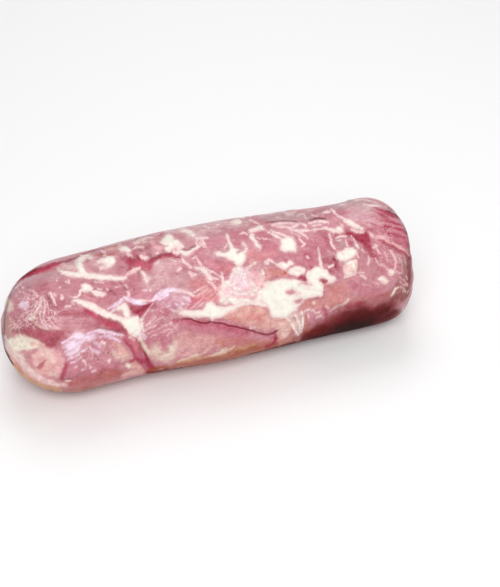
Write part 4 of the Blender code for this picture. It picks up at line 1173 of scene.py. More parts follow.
# Where a fine web of membrane veils the muscle: strength, softness, and its strokes
WEB = {
    "left lobe": (0.85, 14, [
        ((18, 300, 8), (34, 306, 14), (46, 314, 14)), ((16, 322, 8), (30, 320, 10)),
    ]),
    "long muscle": (0.18, 10, [((60, 318, 8), (90, 320, 8))]),
    "left belly": (0.40, 12, [((80, 352, 12), (104, 350, 12))]),
    "centre": (0.55, 14, [((215, 285, 12), (236, 284, 16), (256, 285, 12))]),
    "upper middle": (0.35, 12, [((170, 258, 12), (200, 262, 12), (205, 272, 10))]),
    "recess": (0.40, 12, [((155, 316, 8), (180, 304, 10), (170, 328, 10))]),
    "upper right": (0.20, 12, [((300, 246, 10), (330, 244, 12), (346, 240, 10), (330, 262, 12))]),
    "right end": (0.45, 12, [((384, 226, 10), (384, 256, 12), (396, 268, 10))]),
    "lower lobe": (0.30, 10, [((186, 350, 8), (215, 348, 8))]),
}

# The order in which the paint is laid on
PAINT = (
    LEFT_LOBE, UPPER_LEFT, MIDDLE, UPPER_MIDDLE, RIGHT_MIDDLE, RIGHT_SIDE,
    LEFT_WEB, LEFT_LOBE_FILM, UPPER_MIDDLE_FILM,
)

# The unseen skin: the turns its marks start at, and for each kind of soft mark the tone, strength,
# softness in pixels, count, and least and most length and half width
HIDDEN_TURNS = (-180, 40)
HIDDEN_PAINT = (
    ("grey pink", 0.45, 9, 18, (0.03, 0.08), (0.006, 0.012)),
    ("dusk", 0.45, 7, 20, (0.02, 0.06), (0.004, 0.009)),
    ("salmon", 0.45, 7, 18, (0.02, 0.06), (0.004, 0.009)),
    ("crimson", 0.60, 4, 16, (0.015, 0.05), (0.0015, 0.0045)),
    ("lavender", 0.65, 3, 18, (0.01, 0.03), (0.001, 0.003)),
    ("pink white", 0.65, 1.2, 66, (0.006, 0.03), (0.0004, 0.0011)),
    ("peach", 0.60, 2, 22, (0.006, 0.02), (0.0008, 0.003)),
    ("wine", 0.60, 1.4, 16, (0.01, 0.03), (0.0004, 0.0009)),
)

# The same for crisp fat: count, and least and most length and half width
HIDDEN_FAT = (
    (12, (0.010, 0.026), (0.0022, 0.0048)),
    (22, (0.008, 0.024), (0.0010, 0.0022)),
    (36, (0.006, 0.026), (0.0005, 0.0010)),
)

# Stains along the unseen seams: tone, strength and width
SEAM_STAINS = (("crimson", 0.55, 0.0045), ("wine", 0.75, 0.0013))

# How an unseen mark wanders: its count of bends, the most it leans from the cut's length at its start
# and turns at each bend, in radians, and how far its line and its width waver
BENDS = 4
START_LEAN = 0.6
BEND_TURN = 0.5
CROOK = 0.0006
WIDTH_WAVER = 0.75
FINE_WIDTH_WAVER = 0.45
ROUTE_PIECES = 6
MARK_PIECES = 3

# Noise over the skin: the size of its cells in metres, and its layer
SKIN_NOISE = {
    "wander x": (0.008, 1),
    "wander y": (0.008, 2),
    "quiver x": (0.003, 3),
    "quiver y": (0.003, 4),
    "rose drift": (0.022, 5),
    "grey drift": (0.016, 6),
    "uneven skin": (0.010, 7),
    "fibre bend": (0.020, 8),
    "foot shade edge": (0.012, 9),
    "crook x": (0.004, 11),
    "crook y": (0.004, 12),
    "crook z": (0.004, 13),
    "width waver": (0.006, 14),
    "fine width waver": (0.0025, 15),
    "ruffle": (0.0036, 21),
    "fine ruffle": (0.0017, 22),
}
NOISE_CELLS = 32
LAYER_SHIFT = 7.31

# How marks turn into looks, in pixels: how far outside a mark its depth is still measured,
# the softness above which a mark is broad, and how far soft and crisp edges stray
MILLIMETRE = 0.001
PIXEL = 0.79 * MILLIMETRE
FAR_PIXELS = 6.0
HOLE_MARGIN = 3
SOFT = 3.2
BROAD_STRAY = (1.8, 0.6)
CLOSE_STRAY = (0.5, 0.45)
RUFFLE = 0.45
RUFFLE_SHARES = (0.6, 0.5)

# Where the skin counts as shown, by how squarely it faces the camera
SHOWN_FROM = 0.0
SHOWN_FULLY = 0.12

# The ground colours: tone, noise, strength, and the noise's low and high between which it drifts in,
# and the height of the painted shade along the foot, a darker band turning from brick to maroon rightward
GROUND_DRIFTS = (
    ("rose", "rose drift", 0.60, -0.5, 0.5),
    ("grey pink", "grey drift", 0.35, -0.1, 0.7),
)
FOOT_SHADE_BAND = (0.022, 0.002)
FOOT_SHADE_WAVER = 0.003
RIGHTWARD = (0.0, 0.08)
FOOT_SHADE_BRICK = 0.75
FOOT_SHADE_MAROON = 0.80

# Low relief: how far fat and film stand out, the fat's depth in pixels over which it rises,
# and how uneven the skin is
FAT_RISE = 0.00050
FAT_RISES_OVER = (-0.6, 1.6)
FILM_RISE = 0.00012
UNEVEN_SKIN = 0.00022

# Bare muscle's least web, the brightness over which the skin gains its gloss, and its fibres
LEAST_WEB = 0.10
GLOSS_OVER = (0.04, 0.22)
FIBRE_LENGTH = 0.012
FIBRE_WIDTH = 0.0016
FIBRE_RADIUS = 0.05
FIBRE_BEND = 1.2
FIBRE_DEPTH = 0.01

# What the studio light does to a colour: how bright it makes it, and what the gloss adds
LIGHT_LEVEL = 1.10
GLOSS_HAZE = 0.028
LEAST_LIGHT = 0.003

# The shader's noise textures: scale, detail and roughness
TEXTURES = {
    "ragged": (340, 3.0, 0.6),
    "lumpy": (150, 2.0, 0.6),
    "fibre": (1.0, 3.0, 0.65),
    "mottle": (210, 4.0, 0.65),
    "bloom": (85, 3.0, 0.6),
    "web": (190, 2.0, 0.5),
    "fine web": (1.7, 2.0, 0.5),
    "lumps": (260, 3.0, 0.55),
}

# The shader's ramps: from low and high, to low and high. Those named below run straight.
RAMPS = {
    "fat": (-0.55, 0.65, 0.0, 0.96),
    "thick fat": (0.4, 3.6, 0.0, 1.0),
    "halo": (-2.4, 0.2, 0.0, 0.42),
    "bloom": (0.46, 0.72, 0.0, 0.62),
    "web": (0.0, 0.030, 1.0, 0.0),
    "fine web": (0.0, 0.035, 1.0, 0.0),
    "seam": (-0.6, 0.5, 0.0, 0.85),
    "fibre": (0.3, 0.7, 0.93, 1.06),
    "mottle": (0.3, 0.7, 0.84, 1.14),
    "lumps": (0.3, 0.7, 0.90, 1.04),
    "roughness": (0.3, 0.7, 0.30, 0.42),
}
STRAIGHT_RAMPS = ("fibre", "mottle", "lumps", "roughness")

# Other shares in the shader
NOISE_MIDDLE = 0.5
RAGGED_EDGE = 3.8
LUMPY_EDGE = 2.6
DEEP_TINT = (0.84, 0.60, 0.66, 1.0)
COOL_SHADE_POWER = 1.8
FINE_WEB = 0.6
SEAM_LEAST_WIDTH = 0.35
FILM_SMOOTHS = 0.10
DULL_ROUGHENS = 0.45
FAT_ROUGHENS = 0.08
FIBRE_BUMP = 0.6
MOTTLE_BUMP = 0.4
BUMP_STRENGTH = 0.35
BUMP_DISTANCE = 0.0004
SUBSURFACE_WEIGHT = 0.12
SUBSURFACE_RADIUS = (0.0040, 0.0016, 0.0012)
SUBSURFACE_SCALE = 1.0
SPECULAR_LEVEL = 0.14
COAT_SHARE = 0.34
COAT_ROUGHNESS = 0.14

# The studio: each light's place, size and power, what the lights face, and the floor
LIGHTS = {
    "key light": ((-0.30, -0.95, 1.15), 1.1, 15.0),
    "back light": ((0.20, 0.90, 1.20), 1.0, 7.0),
    "side light": ((1.10, -0.20, 0.90), 0.8, 3.0),
}
LIT_POINT = (0, 0, 0.04)
WORLD_STRENGTH = 0.42
FLOOR_REACH = 3.0
FLOOR_DROP = 0.0005
FLOOR_COLOUR = (0.9, 0.9, 0.9, 1.0)
FLOOR_ROUGHNESS = 0.6


def rgb(tone):
    """A tone's colour in linear light."""
    shares = np.array([int(TONES[tone][at : at + 2], 16) for at in (0, 2, 4)]) / 255
    seen = np.where(shares <= 0.04045, shares / 12.92, ((shares + 0.055) / 1.055) ** 2.4)
    return np.clip((seen - GLOSS_HAZE) / LIGHT_LEVEL, LEAST_LIGHT, 1)


def smooth_step(low, high, value):
    t = np.clip((value - low) / (high - low), 0, 1)
    return t * t * (3 - 2 * t)


def soft_cover(softness, inside):
    """How fully a soft mark covers a point that lies so far inside it."""
    return smooth_step(-softness / 2, softness / 2, inside)


NOISE_TABLE = np.random.default_rng(SEED).uniform(-1, 1, (NOISE_CELLS,) * 3)


def noise(points, name):
    """Smooth noise from -1 to 1 over the skin, by its name."""
    cell, layer = SKIN_NOISE[name]
    scaled = points / cell + layer * LAYER_SHIFT
    base = np.floor(scaled).astype(int)
    t = scaled - base
    t = t * t * (3 - 2 * t)
    total = np.zeros(len(points))
    for corner in np.ndindex(2, 2, 2):
        at = (base + corner) % NOISE_CELLS
        total += np.prod(np.where(corner, t, 1 - t), axis=1) * NOISE_TABLE[tuple(at.T)]
    return total


def noises(points, *names):
    return np.stack([noise(points, name) for name in names], axis=1)


def box_skin(along, across, up):
    """Points on the skin of a box from -1 to 1 each way, and its quads facing out."""
    number = {}
    quads = []

    def sheet(first_count, second_count, place):
        """One side of the box, where place turns two grid numbers into a corner."""
        for i in range(first_count):
            for j in range(second_count):
                ring = ((i, j), (i + 1, j), (i + 1, j + 1), (i, j + 1))
                quads.append([number.setdefault(place(*corner), len(number)) for corner in ring])

    sheet(across, along, lambda j, i: (i, j, 0))
    sheet(along, across, lambda i, j: (i, j, up))
    sheet(along, up, lambda i, k: (i, 0, k))
    sheet(up, along, lambda k, i: (i, across, k))
    sheet(up, across, lambda k, j: (0, j, k))
    sheet(across, up, lambda j, k: (along, j, k))
    points = np.array(list(number), float) * 2 / (along, across, up) - 1
    return points, np.array(quads)


def curve_between(t, first, last, first_slope, last_slope):
    """The smooth curve from one value to the next, which leaves and arrives at the given slopes."""
    return (
        (2 * t**3 - 3 * t**2 + 1) * first
        + (t**3 - 2 * t**2 + t) * first_slope
        + (3 * t**2 - 2 * t**3) * last
        + (t**3 - t**2) * last_slope
    )


def through_stations(values, share):
    """A smooth curve through the values at the stations, read at each share of the length."""
    knots = np.array(STATIONS)
    values = np.array(values)
    slopes = np.gradient(values, knots)
    left = np.clip(np.searchsorted(knots, share) - 1, 0, len(knots) - 2)
    span = knots[left + 1] - knots[left]
    t = np.clip((share - knots[left]) / span, 0, 1)
    return curve_between(t, values[left], values[left + 1], span * slopes[left], span * slopes[left + 1])


def end_outline(length, power, count=400):
    """Distance from the tip and share of the full girth, from the tip to the full section."""
    t = np.linspace(math.pi / 2, 0, count)
    return length * (1 - np.sin(t) ** (2 / power)), np.cos(t) ** (2 / power)


def girth_outline():
    """Places along X and the share of the full girth there, from the left tip to the right one."""
    left_x, left_girth = end_outline(LEFT_END, LEFT_POWER)
    right_x, right_girth = end_outline(RIGHT_END, RIGHT_POWER)
    along = np.concatenate([left_x - LENGTH / 2, LENGTH / 2 - right_x[::-1]])
    return along, np.concatenate([left_girth, right_girth[::-1]])


def skin_arc():
    """Places along X, and the length of skin from the left tip to each of them."""
    along, girth = girth_outline()
    steps = np.hypot(np.diff(along), np.diff(girth) * max(HALF_WIDTHS))
    return along, np.concatenate([[0.0], np.cumsum(steps)])


def signed_power(value, power):
    return np.sign(value) * np.abs(value) ** power


def on_section(along, girth, turn):
    """Points of the plain form: a place along X, a share of the girth and a turn from the top."""
    share = along / LENGTH + 0.5
    half_width = through_stations(HALF_WIDTHS, share)
    height = through_stations(HEIGHTS, share)
    middle = (height - PRESSED_FLAT) / 2
    reach = (height + PRESSED_FLAT) / 2
    across = -signed_power(np.sin(turn), 2 / SECTION_POWER)
    up = signed_power(np.cos(turn), 2 / SECTION_POWER)
    y = through_stations(SIDEWAYS, share) + girth * half_width * across
    z = middle + girth * reach * up
    return np.stack([along, y, np.maximum(z, 0)], axis=-1)


def plain_form(box_points):
    """The box skin's points wrapped on to the plain form, crowded towards the shown side."""
    along, girth = girth_outline()
    arc = skin_arc()[1]
    a, b, c = box_points.T
    ring = np.maximum(np.abs(b), np.abs(c))
    left_cap = END_CAP_ARC * ring
    right_cap = arc[-1] - END_CAP_ARC * ring
    side = END_CAP_ARC + (a + 1) / 2 * (arc[-1] - 2 * END_CAP_ARC)
    where = np.where(a <= -1, left_cap, np.where(a >= 1, right_cap, side))
    ring = np.maximum(ring, 1e-9)
    turn = np.arctan2(-np.tan(b / ring * math.pi / 4), np.tan(c / ring * math.pi / 4))
    turn = turn - CROWD * np.sin(turn - CROWD_TURN)
    return on_section(np.interp(where, arc, along), np.interp(where, arc, girth), turn)


def on_surface(places):
    """Points of the plain form at pairs of a place along X and a turn in degrees."""
    places = np.array(places, float)
    along, girth = girth_outline()
    return on_section(places[:, 0], np.interp(places[:, 0], along, girth), np.radians(places[:, 1]))


def smooth_route(places, pieces=ROUTE_PIECES):
    """A rounded route through the places, as points on the plain form."""
    places = np.array(places, float)
    fine = np.linspace(0, len(places) - 1, pieces * (len(places) - 1) + 1)
    slopes = np.gradient(places, axis=0)
    left = np.clip(fine.astype(int), 0, len(places) - 2)
    t = (fine - left)[:, None]
    return on_surface(
        curve_between(t, places[left], places[left + 1], slopes[left], slopes[left + 1])
    )


def along_run(points, start, run):
    """The share of a straight run that is nearest to each point, and how far away it is."""
    away = points - start
    share = np.clip(away @ run / (run @ run), 0, 1)
    return share, np.linalg.norm(away - share[:, None] * run, axis=1)


def distance_to_route(points, route):
    nearest = np.full(len(points), np.inf)
    for start, end in zip(route[:-1], route[1:]):
        run = end - start
        if run.any():
            nearest = np.minimum(nearest, along_run(points, start, run)[1])
    return nearest


def outward(points):
    """Unit directions out of the form, across the axis and tipped towards the nearer end."""
    reach = LENGTH / 2 - SPINE_END
    spine = np.zeros_like(points)
    spine[:, 0] = np.clip(points[:, 0], -reach, reach)
    spine[:, 2] = AXIS_HEIGHT
    away = points - spine
    return away / np.linalg.norm(away, axis=1)[:, None]


def belly_height(points, place, turn, reach_along, reach_round, height):
    centre = on_surface([(place, turn)])[0]
    away = points - centre
    round_distance = np.hypot(away[:, 1], away[:, 2])
    return height * np.exp(-((away[:, 0] / reach_along) ** 2) - (round_distance / reach_round) ** 2)


def main_relief(points):
    """How far each point moves out of the plain form for the muscles and seams."""
    rise = np.zeros(len(points))
    for belly in BELLIES.values():
        rise += belly_height(points, *belly)
    for width, depth, places in SEAMS.values():
        distance = distance_to_route(points, smooth_route(places))
        rise -= depth * np.exp(-((distance / width) ** 2))
    return rise * base_fade(points)


def base_fade(points):
    """None of the relief on the resting face, all of it a little above."""
    return np.clip(points[:, 2] / BASE_FADE, 0, 1)


def vertex_normals(points, quads):
    corners = points[quads]
    faces = np.cross(corners[:, 2] - corners[:, 0], corners[:, 3] - corners[:, 1])
    normals = np.zeros_like(points)
    for corner in range(4):
        np.add.at(normals, quads[:, corner], faces)
    return normals / np.maximum(np.linalg.norm(normals, axis=1), 1e-12)[:, None]


def camera_axes():
    """Unit directions to the camera's right, its top and back towards it."""
    back = np.array([
        math.sin(AZIMUTH) * math.cos(ELEVATION),
        -math.cos(AZIMUTH) * math.cos(ELEVATION),
        math.sin(ELEVATION),
    ])
    right = np.array([math.cos(AZIMUTH), math.sin(AZIMUTH), 0.0])
    return right, np.cross(back, right), back


def to_pixels(points):
    """Where points fall on the photograph."""
    right, top, back = camera_axes()
    away = points - AIM
    scale = LENS_MM / SENSOR_MM * max(FRAME_WIDE, FRAME_HIGH) / (DISTANCE - away @ back)
    x = FRAME_WIDE / 2 + scale * (away @ right)
    y = FRAME_HIGH / 2 - scale * (away @ top)
    return np.stack([x, y], axis=1)


def inside_stroke(pixels, stroke):
    """How far inside a stroke each pixel lies, negative outside."""
    inside = np.full(len(pixels), -np.inf)
    for start, end in zip(stroke[:-1], stroke[1:]):
        share, distance = along_run(pixels, start[:2], end[:2] - start[:2])
        half_width = start[2] + share * (end[2] - start[2])
        inside = np.maximum(inside, half_width - distance)
    return inside


def inside_outline(pixels, outline):
    """How far inside a closed outline each pixel lies, negative outside."""
    nearest = np.full(len(pixels), np.inf)
    within = np.zeros(len(pixels), bool)
    for start, end in zip(outline, np.roll(outline, -1, axis=0)):
        run = end - start
        nearest = np.minimum(nearest, along_run(pixels, start, run)[1])
        crosses = (pixels[:, 1] < start[1]) != (pixels[:, 1] < end[1])
        slope = run[0] / run[1] if run[1] else 0.0
        within ^= crosses & (pixels[:, 0] < start[0] + (pixels[:, 1] - start[1]) * slope)
    return np.where(within, nearest, -nearest)


def inside_marks(pixels, marks, margin=FAR_PIXELS):
    """How far inside the nearest of the marks each pixel lies, down to minus the margin."""
    inside = np.full(len(pixels), -float(margin))
    for mark in marks:
        mark = np.array(mark, float)
        is_stroke = mark.shape[1] == 3
        spread = margin + (mark[:, 2].max() if is_stroke else 0)
        low = mark[:, :2].min(axis=0) - spread
        high = mark[:, :2].max(axis=0) + spread
        near = np.flatnonzero(((pixels > low) & (pixels < high)).all(axis=1))
        measure = inside_stroke if is_stroke else inside_outline
        inside[near] = np.maximum(inside[near], measure(pixels[near], mark))
    return inside


def beside_route(pixels, route):
    """Signed distance of each pixel from a route, positive on its right as it runs."""
    nearest = np.full(len(pixels), np.inf)
    signed = np.zeros(len(pixels))
    route = np.array(route, float)
    for start, end in zip(route[:-1], route[1:]):
        run = end - start
        distance = along_run(pixels, start, run)[1]
        away = pixels - start
        side = np.sign(run[0] * away[:, 1] - run[1] * away[:, 0])
        closer = distance < nearest
        nearest = np.where(closer, distance, nearest)
        signed = np.where(closer, side * distance, signed)
    return signed


def paint_over(colours, tone, cover):
    return colours + (rgb(tone) - colours) * cover[:, None]


def strayed(pixels, wander, quiver, amounts):
    return pixels + amounts[0] * wander + amounts[1] * quiver


def shown_marks(points, colours, pixels):
    """Lays the photograph's marks on the points: colours, film, fat depth and place beside the seam."""
    wander = noises(points, "wander x", "wander y")
    quiver = noises(points, "quiver x", "quiver y")
    broad = strayed(pixels, wander, quiver, BROAD_STRAY)
    close = strayed(pixels, wander, quiver, CLOSE_STRAY)
    ruffle = noises(points, "ruffle", "fine ruffle") @ RUFFLE_SHARES
    film = np.zeros(len(points))
    for region in PAINT:
        for tone, strength, softness, marks in region.values():
            inside = inside_marks(broad if softness > SOFT else close, marks, softness)
            ragged = inside + RUFFLE * min(softness, SOFT) * ruffle
            cover = strength * soft_cover(softness, ragged)
            colours = paint_over(colours, tone, cover)
            if tone in FILM_TONES:
                film = np.maximum(film, cover)
    fat = inside_marks(close, FAT.values())
    fat = np.minimum(fat, -inside_marks(close, HOLES.values(), HOLE_MARGIN))
    return colours, film, fat, beside_route(close, LONG_SEAM)


def web_share(pixels):
    """How strongly the fine web veils each pixel of the photograph."""
    web = np.zeros(len(pixels))
    for strength, softness, marks in WEB.values():
        web = np.maximum(web, strength * soft_cover(softness, inside_marks(pixels, marks, softness)))
    return web


def wandering_places(rng, length):
    """A random short route over the unseen skin, as pairs of a place along X and a turn in degrees."""
    along, arc = skin_arc()
    walked = rng.uniform(0, arc[-1])
    turn = rng.uniform(*HIDDEN_TURNS)
    heading = rng.uniform(-START_LEAN, START_LEAN) + (math.pi if rng.random() < 0.5 else 0.0)
    places = [(np.interp(walked, arc, along), turn)]
    step = length / BENDS
    for _ in range(BENDS):
        heading += rng.uniform(-BEND_TURN, BEND_TURN)
        walked = np.clip(walked + step * math.cos(heading), 0, arc[-1])
        turn += math.degrees(step * math.sin(heading) / max(HALF_WIDTHS))
        places.append((np.interp(walked, arc, along), turn))
    return places


def hidden_marks(points, colours):
    """Marks of the same kinds as the photograph's, drawn for skin that it doesn't show."""
    rng = np.random.default_rng(SEED)
    film = np.zeros(len(points))
    fat = np.full(len(points), -FAR_PIXELS)
    crooked = points + CROOK * noises(points, "crook x", "crook y", "crook z")
    uneven = 1 + WIDTH_WAVER * noise(points, "width waver")
    uneven += FINE_WIDTH_WAVER * noise(points, "fine width waver")

    def depth(lengths, half_widths):
        """How far inside one random mark each point lies, in pixels."""
        route = smooth_route(wandering_places(rng, rng.uniform(*lengths)), MARK_PIECES)
        return (rng.uniform(*half_widths) * uneven - distance_to_route(crooked, route)) / PIXEL

    for name in HIDDEN_SEAMS:
        distance = distance_to_route(crooked, smooth_route(SEAMS[name][2]))
        for tone, strength, width in SEAM_STAINS:
            colours = paint_over(colours, tone, strength * np.exp(-((distance / width) ** 2)))
    for tone, strength, softness, count, lengths, half_widths in HIDDEN_PAINT:
        for _ in range(count):
            cover = strength * soft_cover(softness, depth(lengths, half_widths))
            colours = paint_over(colours, tone, cover)
            if tone in FILM_TONES:
                film = np.maximum(film, cover)
    for count, lengths, half_widths in HIDDEN_FAT:
        for _ in range(count):
            fat = np.maximum(fat, depth(lengths, half_widths))
    return colours, film, fat


def ground_colours(points):
    """The muscle's ground colour before any mark, with a painted shade along the foot."""
    colours = np.repeat([rgb("mauve")], len(points), axis=0)
    for tone, name, strength, low, high in GROUND_DRIFTS:
        colours = paint_over(colours, tone, strength * smooth_step(low, high, noise(points, name)))
    # Painted shade along the foot: brick to the left, maroon rightward
    low = smooth_step(*FOOT_SHADE_BAND, points[:, 2] + FOOT_SHADE_WAVER * noise(points, "foot shade edge"))
    rightward = smooth_step(*RIGHTWARD, points[:, 0])
    colours = paint_over(colours, "brick", FOOT_SHADE_BRICK * low * (1 - rightward))
    return paint_over(colours, "maroon", FOOT_SHADE_MAROON * low * rightward)


def shown_share(points, quads):
    """How fully each point is shown by the photograph: 0 where it faces away, 1 where it faces it."""
    to_camera = camera_axes()[2] * DISTANCE + AIM - points
    to_camera /= np.linalg.norm(to_camera, axis=1)[:, None]
    facing = (vertex_normals(points, quads) * to_camera).sum(axis=1)
    return smooth_step(SHOWN_FROM, SHOWN_FULLY, facing)


def skin_marks(points, quads):
    """Every point's colour, film, fat depth, web, place beside the seam and nearness to it."""
    shown = shown_share(points, quads)
    pixels = to_pixels(points)
    ground = ground_colours(points)
    painted, film, fat, seam = shown_marks(points, ground, pixels)
    unseen = ground.copy()
    hidden_film = np.zeros(len(points))
    hidden_fat = np.full(len(points), -FAR_PIXELS)
    at = np.flatnonzero(shown < 1)
    unseen[at], hidden_film[at], hidden_fat[at] = hidden_marks(points[at], ground[at])
    near_seam = smooth_step(SEAM_REACH, SEAM_REACH / 2, np.abs(seam)) * shown
    shown_fat = fat * shown - FAR_PIXELS * (1 - shown)
    unseen_fat = hidden_fat * (1 - shown) - FAR_PIXELS * shown
    return {
        "colour": unseen + (painted - unseen) * shown[:, None],
        "film": film * shown + hidden_film * (1 - shown),
        "fat": np.maximum(shown_fat, unseen_fat),
        "web": np.maximum(LEAST_WEB, web_share(pixels) * shown),
        "seam": seam,
        "near_seam": near_seam * smooth_step(*SEAM_FADES_IN, pixels[:, 0]),
    }


def grain_places(points):
    """Places in a space that is drawn out along the muscle fibres."""
    y = points[:, 1]
    z = points[:, 2] - AXIS_HEIGHT
    round_place = np.arctan2(-y, z) * FIBRE_RADIUS / FIBRE_WIDTH + FIBRE_BEND * noise(points, "fibre bend")
    return np.stack([points[:, 0] / FIBRE_LENGTH, round_place, np.hypot(y, z) / FIBRE_DEPTH], axis=1)


def new_node(tree, kind, **settings):
    node = tree.nodes.new(kind)
    for name, value in settings.items():
        setattr(node, name, value)
    return node


def feed(tree, socket, value):
    """Sets a socket to a number or colour, or links another socket to it."""
    if isinstance(value, bpy.types.NodeSocket):
        tree.links.new(value, socket)
    else:
        socket.default_value = value


def attribute(tree, name, output="Fac"):
    node = new_node(tree, "ShaderNodeAttribute", attribute_name=name, attribute_type="GEOMETRY")
    return node.outputs[output]


def texture(tree, name, place):
    node = new_node(tree, "ShaderNodeTexNoise")
    feed(tree, node.inputs["Vector"], place)
    for socket, value in zip(("Scale", "Detail", "Roughness"), TEXTURES[name]):
        node.inputs[socket].default_value = value
    return node.outputs["Fac"]


def centred(tree, name, place):
    return combine(tree, "SUBTRACT", texture(tree, name, place), NOISE_MIDDLE)


def ramp(tree, name, value):
    kind = "LINEAR" if name in STRAIGHT_RAMPS else "SMOOTHSTEP"
    node = new_node(tree, "ShaderNodeMapRange", interpolation_type=kind)
    feed(tree, node.inputs["Value"], value)
    for socket, number in zip(("From Min", "From Max", "To Min", "To Max"), RAMPS[name]):
        node.inputs[socket].default_value = number
    return node.outputs["Result"]


def combine(tree, operation, first, second=0.0):
    node = new_node(tree, "ShaderNodeMath", operation=operation)
    feed(tree, node.inputs[0], first)
    feed(tree, node.inputs[1], second)
    return node.outputs[0]


def mix_colour(tree, share, first, second, blend="MIX"):
    node = new_node(tree, "ShaderNodeMix", data_type="RGBA", blend_type=blend)
    for at, value in ((0, share), (6, first), (7, second)):
        feed(tree, node.inputs[at], value)
    return node.outputs[2]


def shaded(tree, colour, red, green_and_blue):
    """A colour times one shade in red and another in green and blue."""
    shade = new_node(tree, "ShaderNodeCombineColor")
    for channel, value in (("Red", red), ("Green", green_and_blue), ("Blue", green_and_blue)):
        tree.links.new(value, shade.inputs[channel])
    return mix_colour(tree, 1.0, colour, shade.outputs["Color"], "MULTIPLY")


def flat(tone):
    return tuple(rgb(tone)) + (1.0,)


def ragged_depth(tree, place):
    """The fat's depth in pixels, with an edge that strays."""
    ragged = combine(tree, "MULTIPLY", centred(tree, "ragged", place), RAGGED_EDGE)
    lumpy = combine(tree, "MULTIPLY", centred(tree, "lumpy", place), LUMPY_EDGE)
    return combine(tree, "ADD", attribute(tree, "fat"), combine(tree, "ADD", ragged, lumpy))


def muscle_colour(tree, place, fibre, mottle):
    """The painted tint, deeper in blooms and shaded by fibre and mottle."""
    tint = attribute(tree, "tint", "Color")
    deep = mix_colour(tree, 1.0, tint, DEEP_TINT, "MULTIPLY")
    muscle = mix_colour(tree, ramp(tree, "bloom", texture(tree, "bloom", place)), tint, deep)
    shade = combine(tree, "MULTIPLY", ramp(tree, "fibre", fibre), ramp(tree, "mottle", mottle))
    return shaded(tree, muscle, shade, combine(tree, "POWER", shade, COOL_SHADE_POWER))


def under_web(tree, muscle, place, grain):
    """The muscle below the fine threads of its membrane."""
    gap = combine(tree, "ABSOLUTE", centred(tree, "web", place))
    fine_gap = combine(tree, "ABSOLUTE", centred(tree, "fine web", grain))
    fine = combine(tree, "MULTIPLY", ramp(tree, "fine web", fine_gap), FINE_WEB)
    threads = combine(tree, "MAXIMUM", ramp(tree, "web", gap), fine)
    share = combine(tree, "MULTIPLY", threads, attribute(tree, "web"))
    return mix_colour(tree, share, muscle, flat("pink white"))


def with_seam(tree, muscle, mottle):
    """The muscle with the one long crisp seam, its width uneven."""
    uneven = combine(tree, "MULTIPLY", mottle, SEAM_UNEVEN_WIDTH)
    width = combine(tree, "ADD", SEAM_LEAST_WIDTH, uneven)
    inside = combine(tree, "SUBTRACT", width, combine(tree, "ABSOLUTE", attribute(tree, "seam")))
    share = combine(tree, "MULTIPLY", ramp(tree, "seam", inside), attribute(tree, "near_seam"))
    return mix_colour(tree, share, muscle, flat("wine"))


def under_fat(tree, muscle, place, depth, fat):
    """The muscle below its fat, which is thin and pink at its edge and white inside."""
    muscle = mix_colour(tree, ramp(tree, "halo", depth), muscle, flat("thin fat"))
    thick = ramp(tree, "thick fat", depth)
    lumps = ramp(tree, "lumps", texture(tree, "lumps", place))
    fat_colour = shaded(tree, mix_colour(tree, thick, flat("thin fat"), flat("fat")), lumps, lumps)
    return mix_colour(tree, fat, muscle, fat_colour)


def wet_roughness(tree, mottle, gloss, fat):
    """Film is smoother than muscle, and fat and dark meat are duller."""
    film = combine(tree, "MULTIPLY", attribute(tree, "film"), FILM_SMOOTHS)
    smooth = combine(tree, "SUBTRACT", ramp(tree, "roughness", mottle), film)
    dull = combine(tree, "MULTIPLY", combine(tree, "SUBTRACT", 1.0, gloss), DULL_ROUGHENS)
    dull_fat = combine(tree, "MULTIPLY", fat, FAT_ROUGHENS)
    return combine(tree, "ADD", combine(tree, "ADD", smooth, dull), dull_fat)


def fibre_bump(tree, fibre, mottle):
    fine = combine(tree, "MULTIPLY", fibre, FIBRE_BUMP)
    bump = new_node(tree, "ShaderNodeBump")
    bump.inputs["Strength"].default_value = BUMP_STRENGTH
    bump.inputs["Distance"].default_value = BUMP_DISTANCE
    height = combine(tree, "ADD", fine, combine(tree, "MULTIPLY", mottle, MOTTLE_BUMP))
    tree.links.new(height, bump.inputs["Height"])
    return bump.outputs["Normal"]


def meat_material():
    material = bpy.data.materials.new("raw pork with fat and silverskin")
    material.use_nodes = True
    tree = material.node_tree
    shader = tree.nodes["Principled BSDF"]
    place = new_node(tree, "ShaderNodeTexCoord").outputs["Object"]
    grain = attribute(tree, "grain", "Vector")
    gloss = attribute(tree, "gloss")
    fibre = texture(tree, "fibre", grain)
    mottle = texture(tree, "mottle", place)
    depth = ragged_depth(tree, place)
    fat = ramp(tree, "fat", depth)

    colour = muscle_colour(tree, place, fibre, mottle)
    colour = under_web(tree, colour, place, grain)
    colour = with_seam(tree, colour, mottle)
    colour = under_fat(tree, colour, place, depth, fat)
    tree.links.new(colour, shader.inputs["Base Color"])
    tree.links.new(wet_roughness(tree, mottle, gloss, fat), shader.inputs["Roughness"])
    tree.links.new(fibre_bump(tree, fibre, mottle), shader.inputs["Normal"])
    tree.links.new(combine(tree, "MULTIPLY", gloss, COAT_SHARE), shader.inputs["Coat Weight"])

    shader.inputs["Coat Roughness"].default_value = COAT_ROUGHNESS
    shader.inputs["Subsurface Weight"].default_value = SUBSURFACE_WEIGHT
    shader.inputs["Subsurface Radius"].default_value = SUBSURFACE_RADIUS
    shader.inputs["Subsurface Scale"].default_value = SUBSURFACE_SCALE
    shader.inputs["Specular IOR Level"].default_value = SPECULAR_LEVEL
    return material


def body_form():
    """The cut's main form, centred on the frame, with its quads and the way out at each point."""
    box_points, quads = box_skin(ALONG, ACROSS, UP)
    plain = plain_form(box_points)
    out = outward(plain)
    body = plain + out * main_relief(plain)[:, None]
    body[:, 2] = np.maximum(body[:, 2], 0)
    body[:, :2] -= (body[:, :2].min(axis=0) + body[:, :2].max(axis=0)) / 2
    return body, quads, out, base_fade(plain)


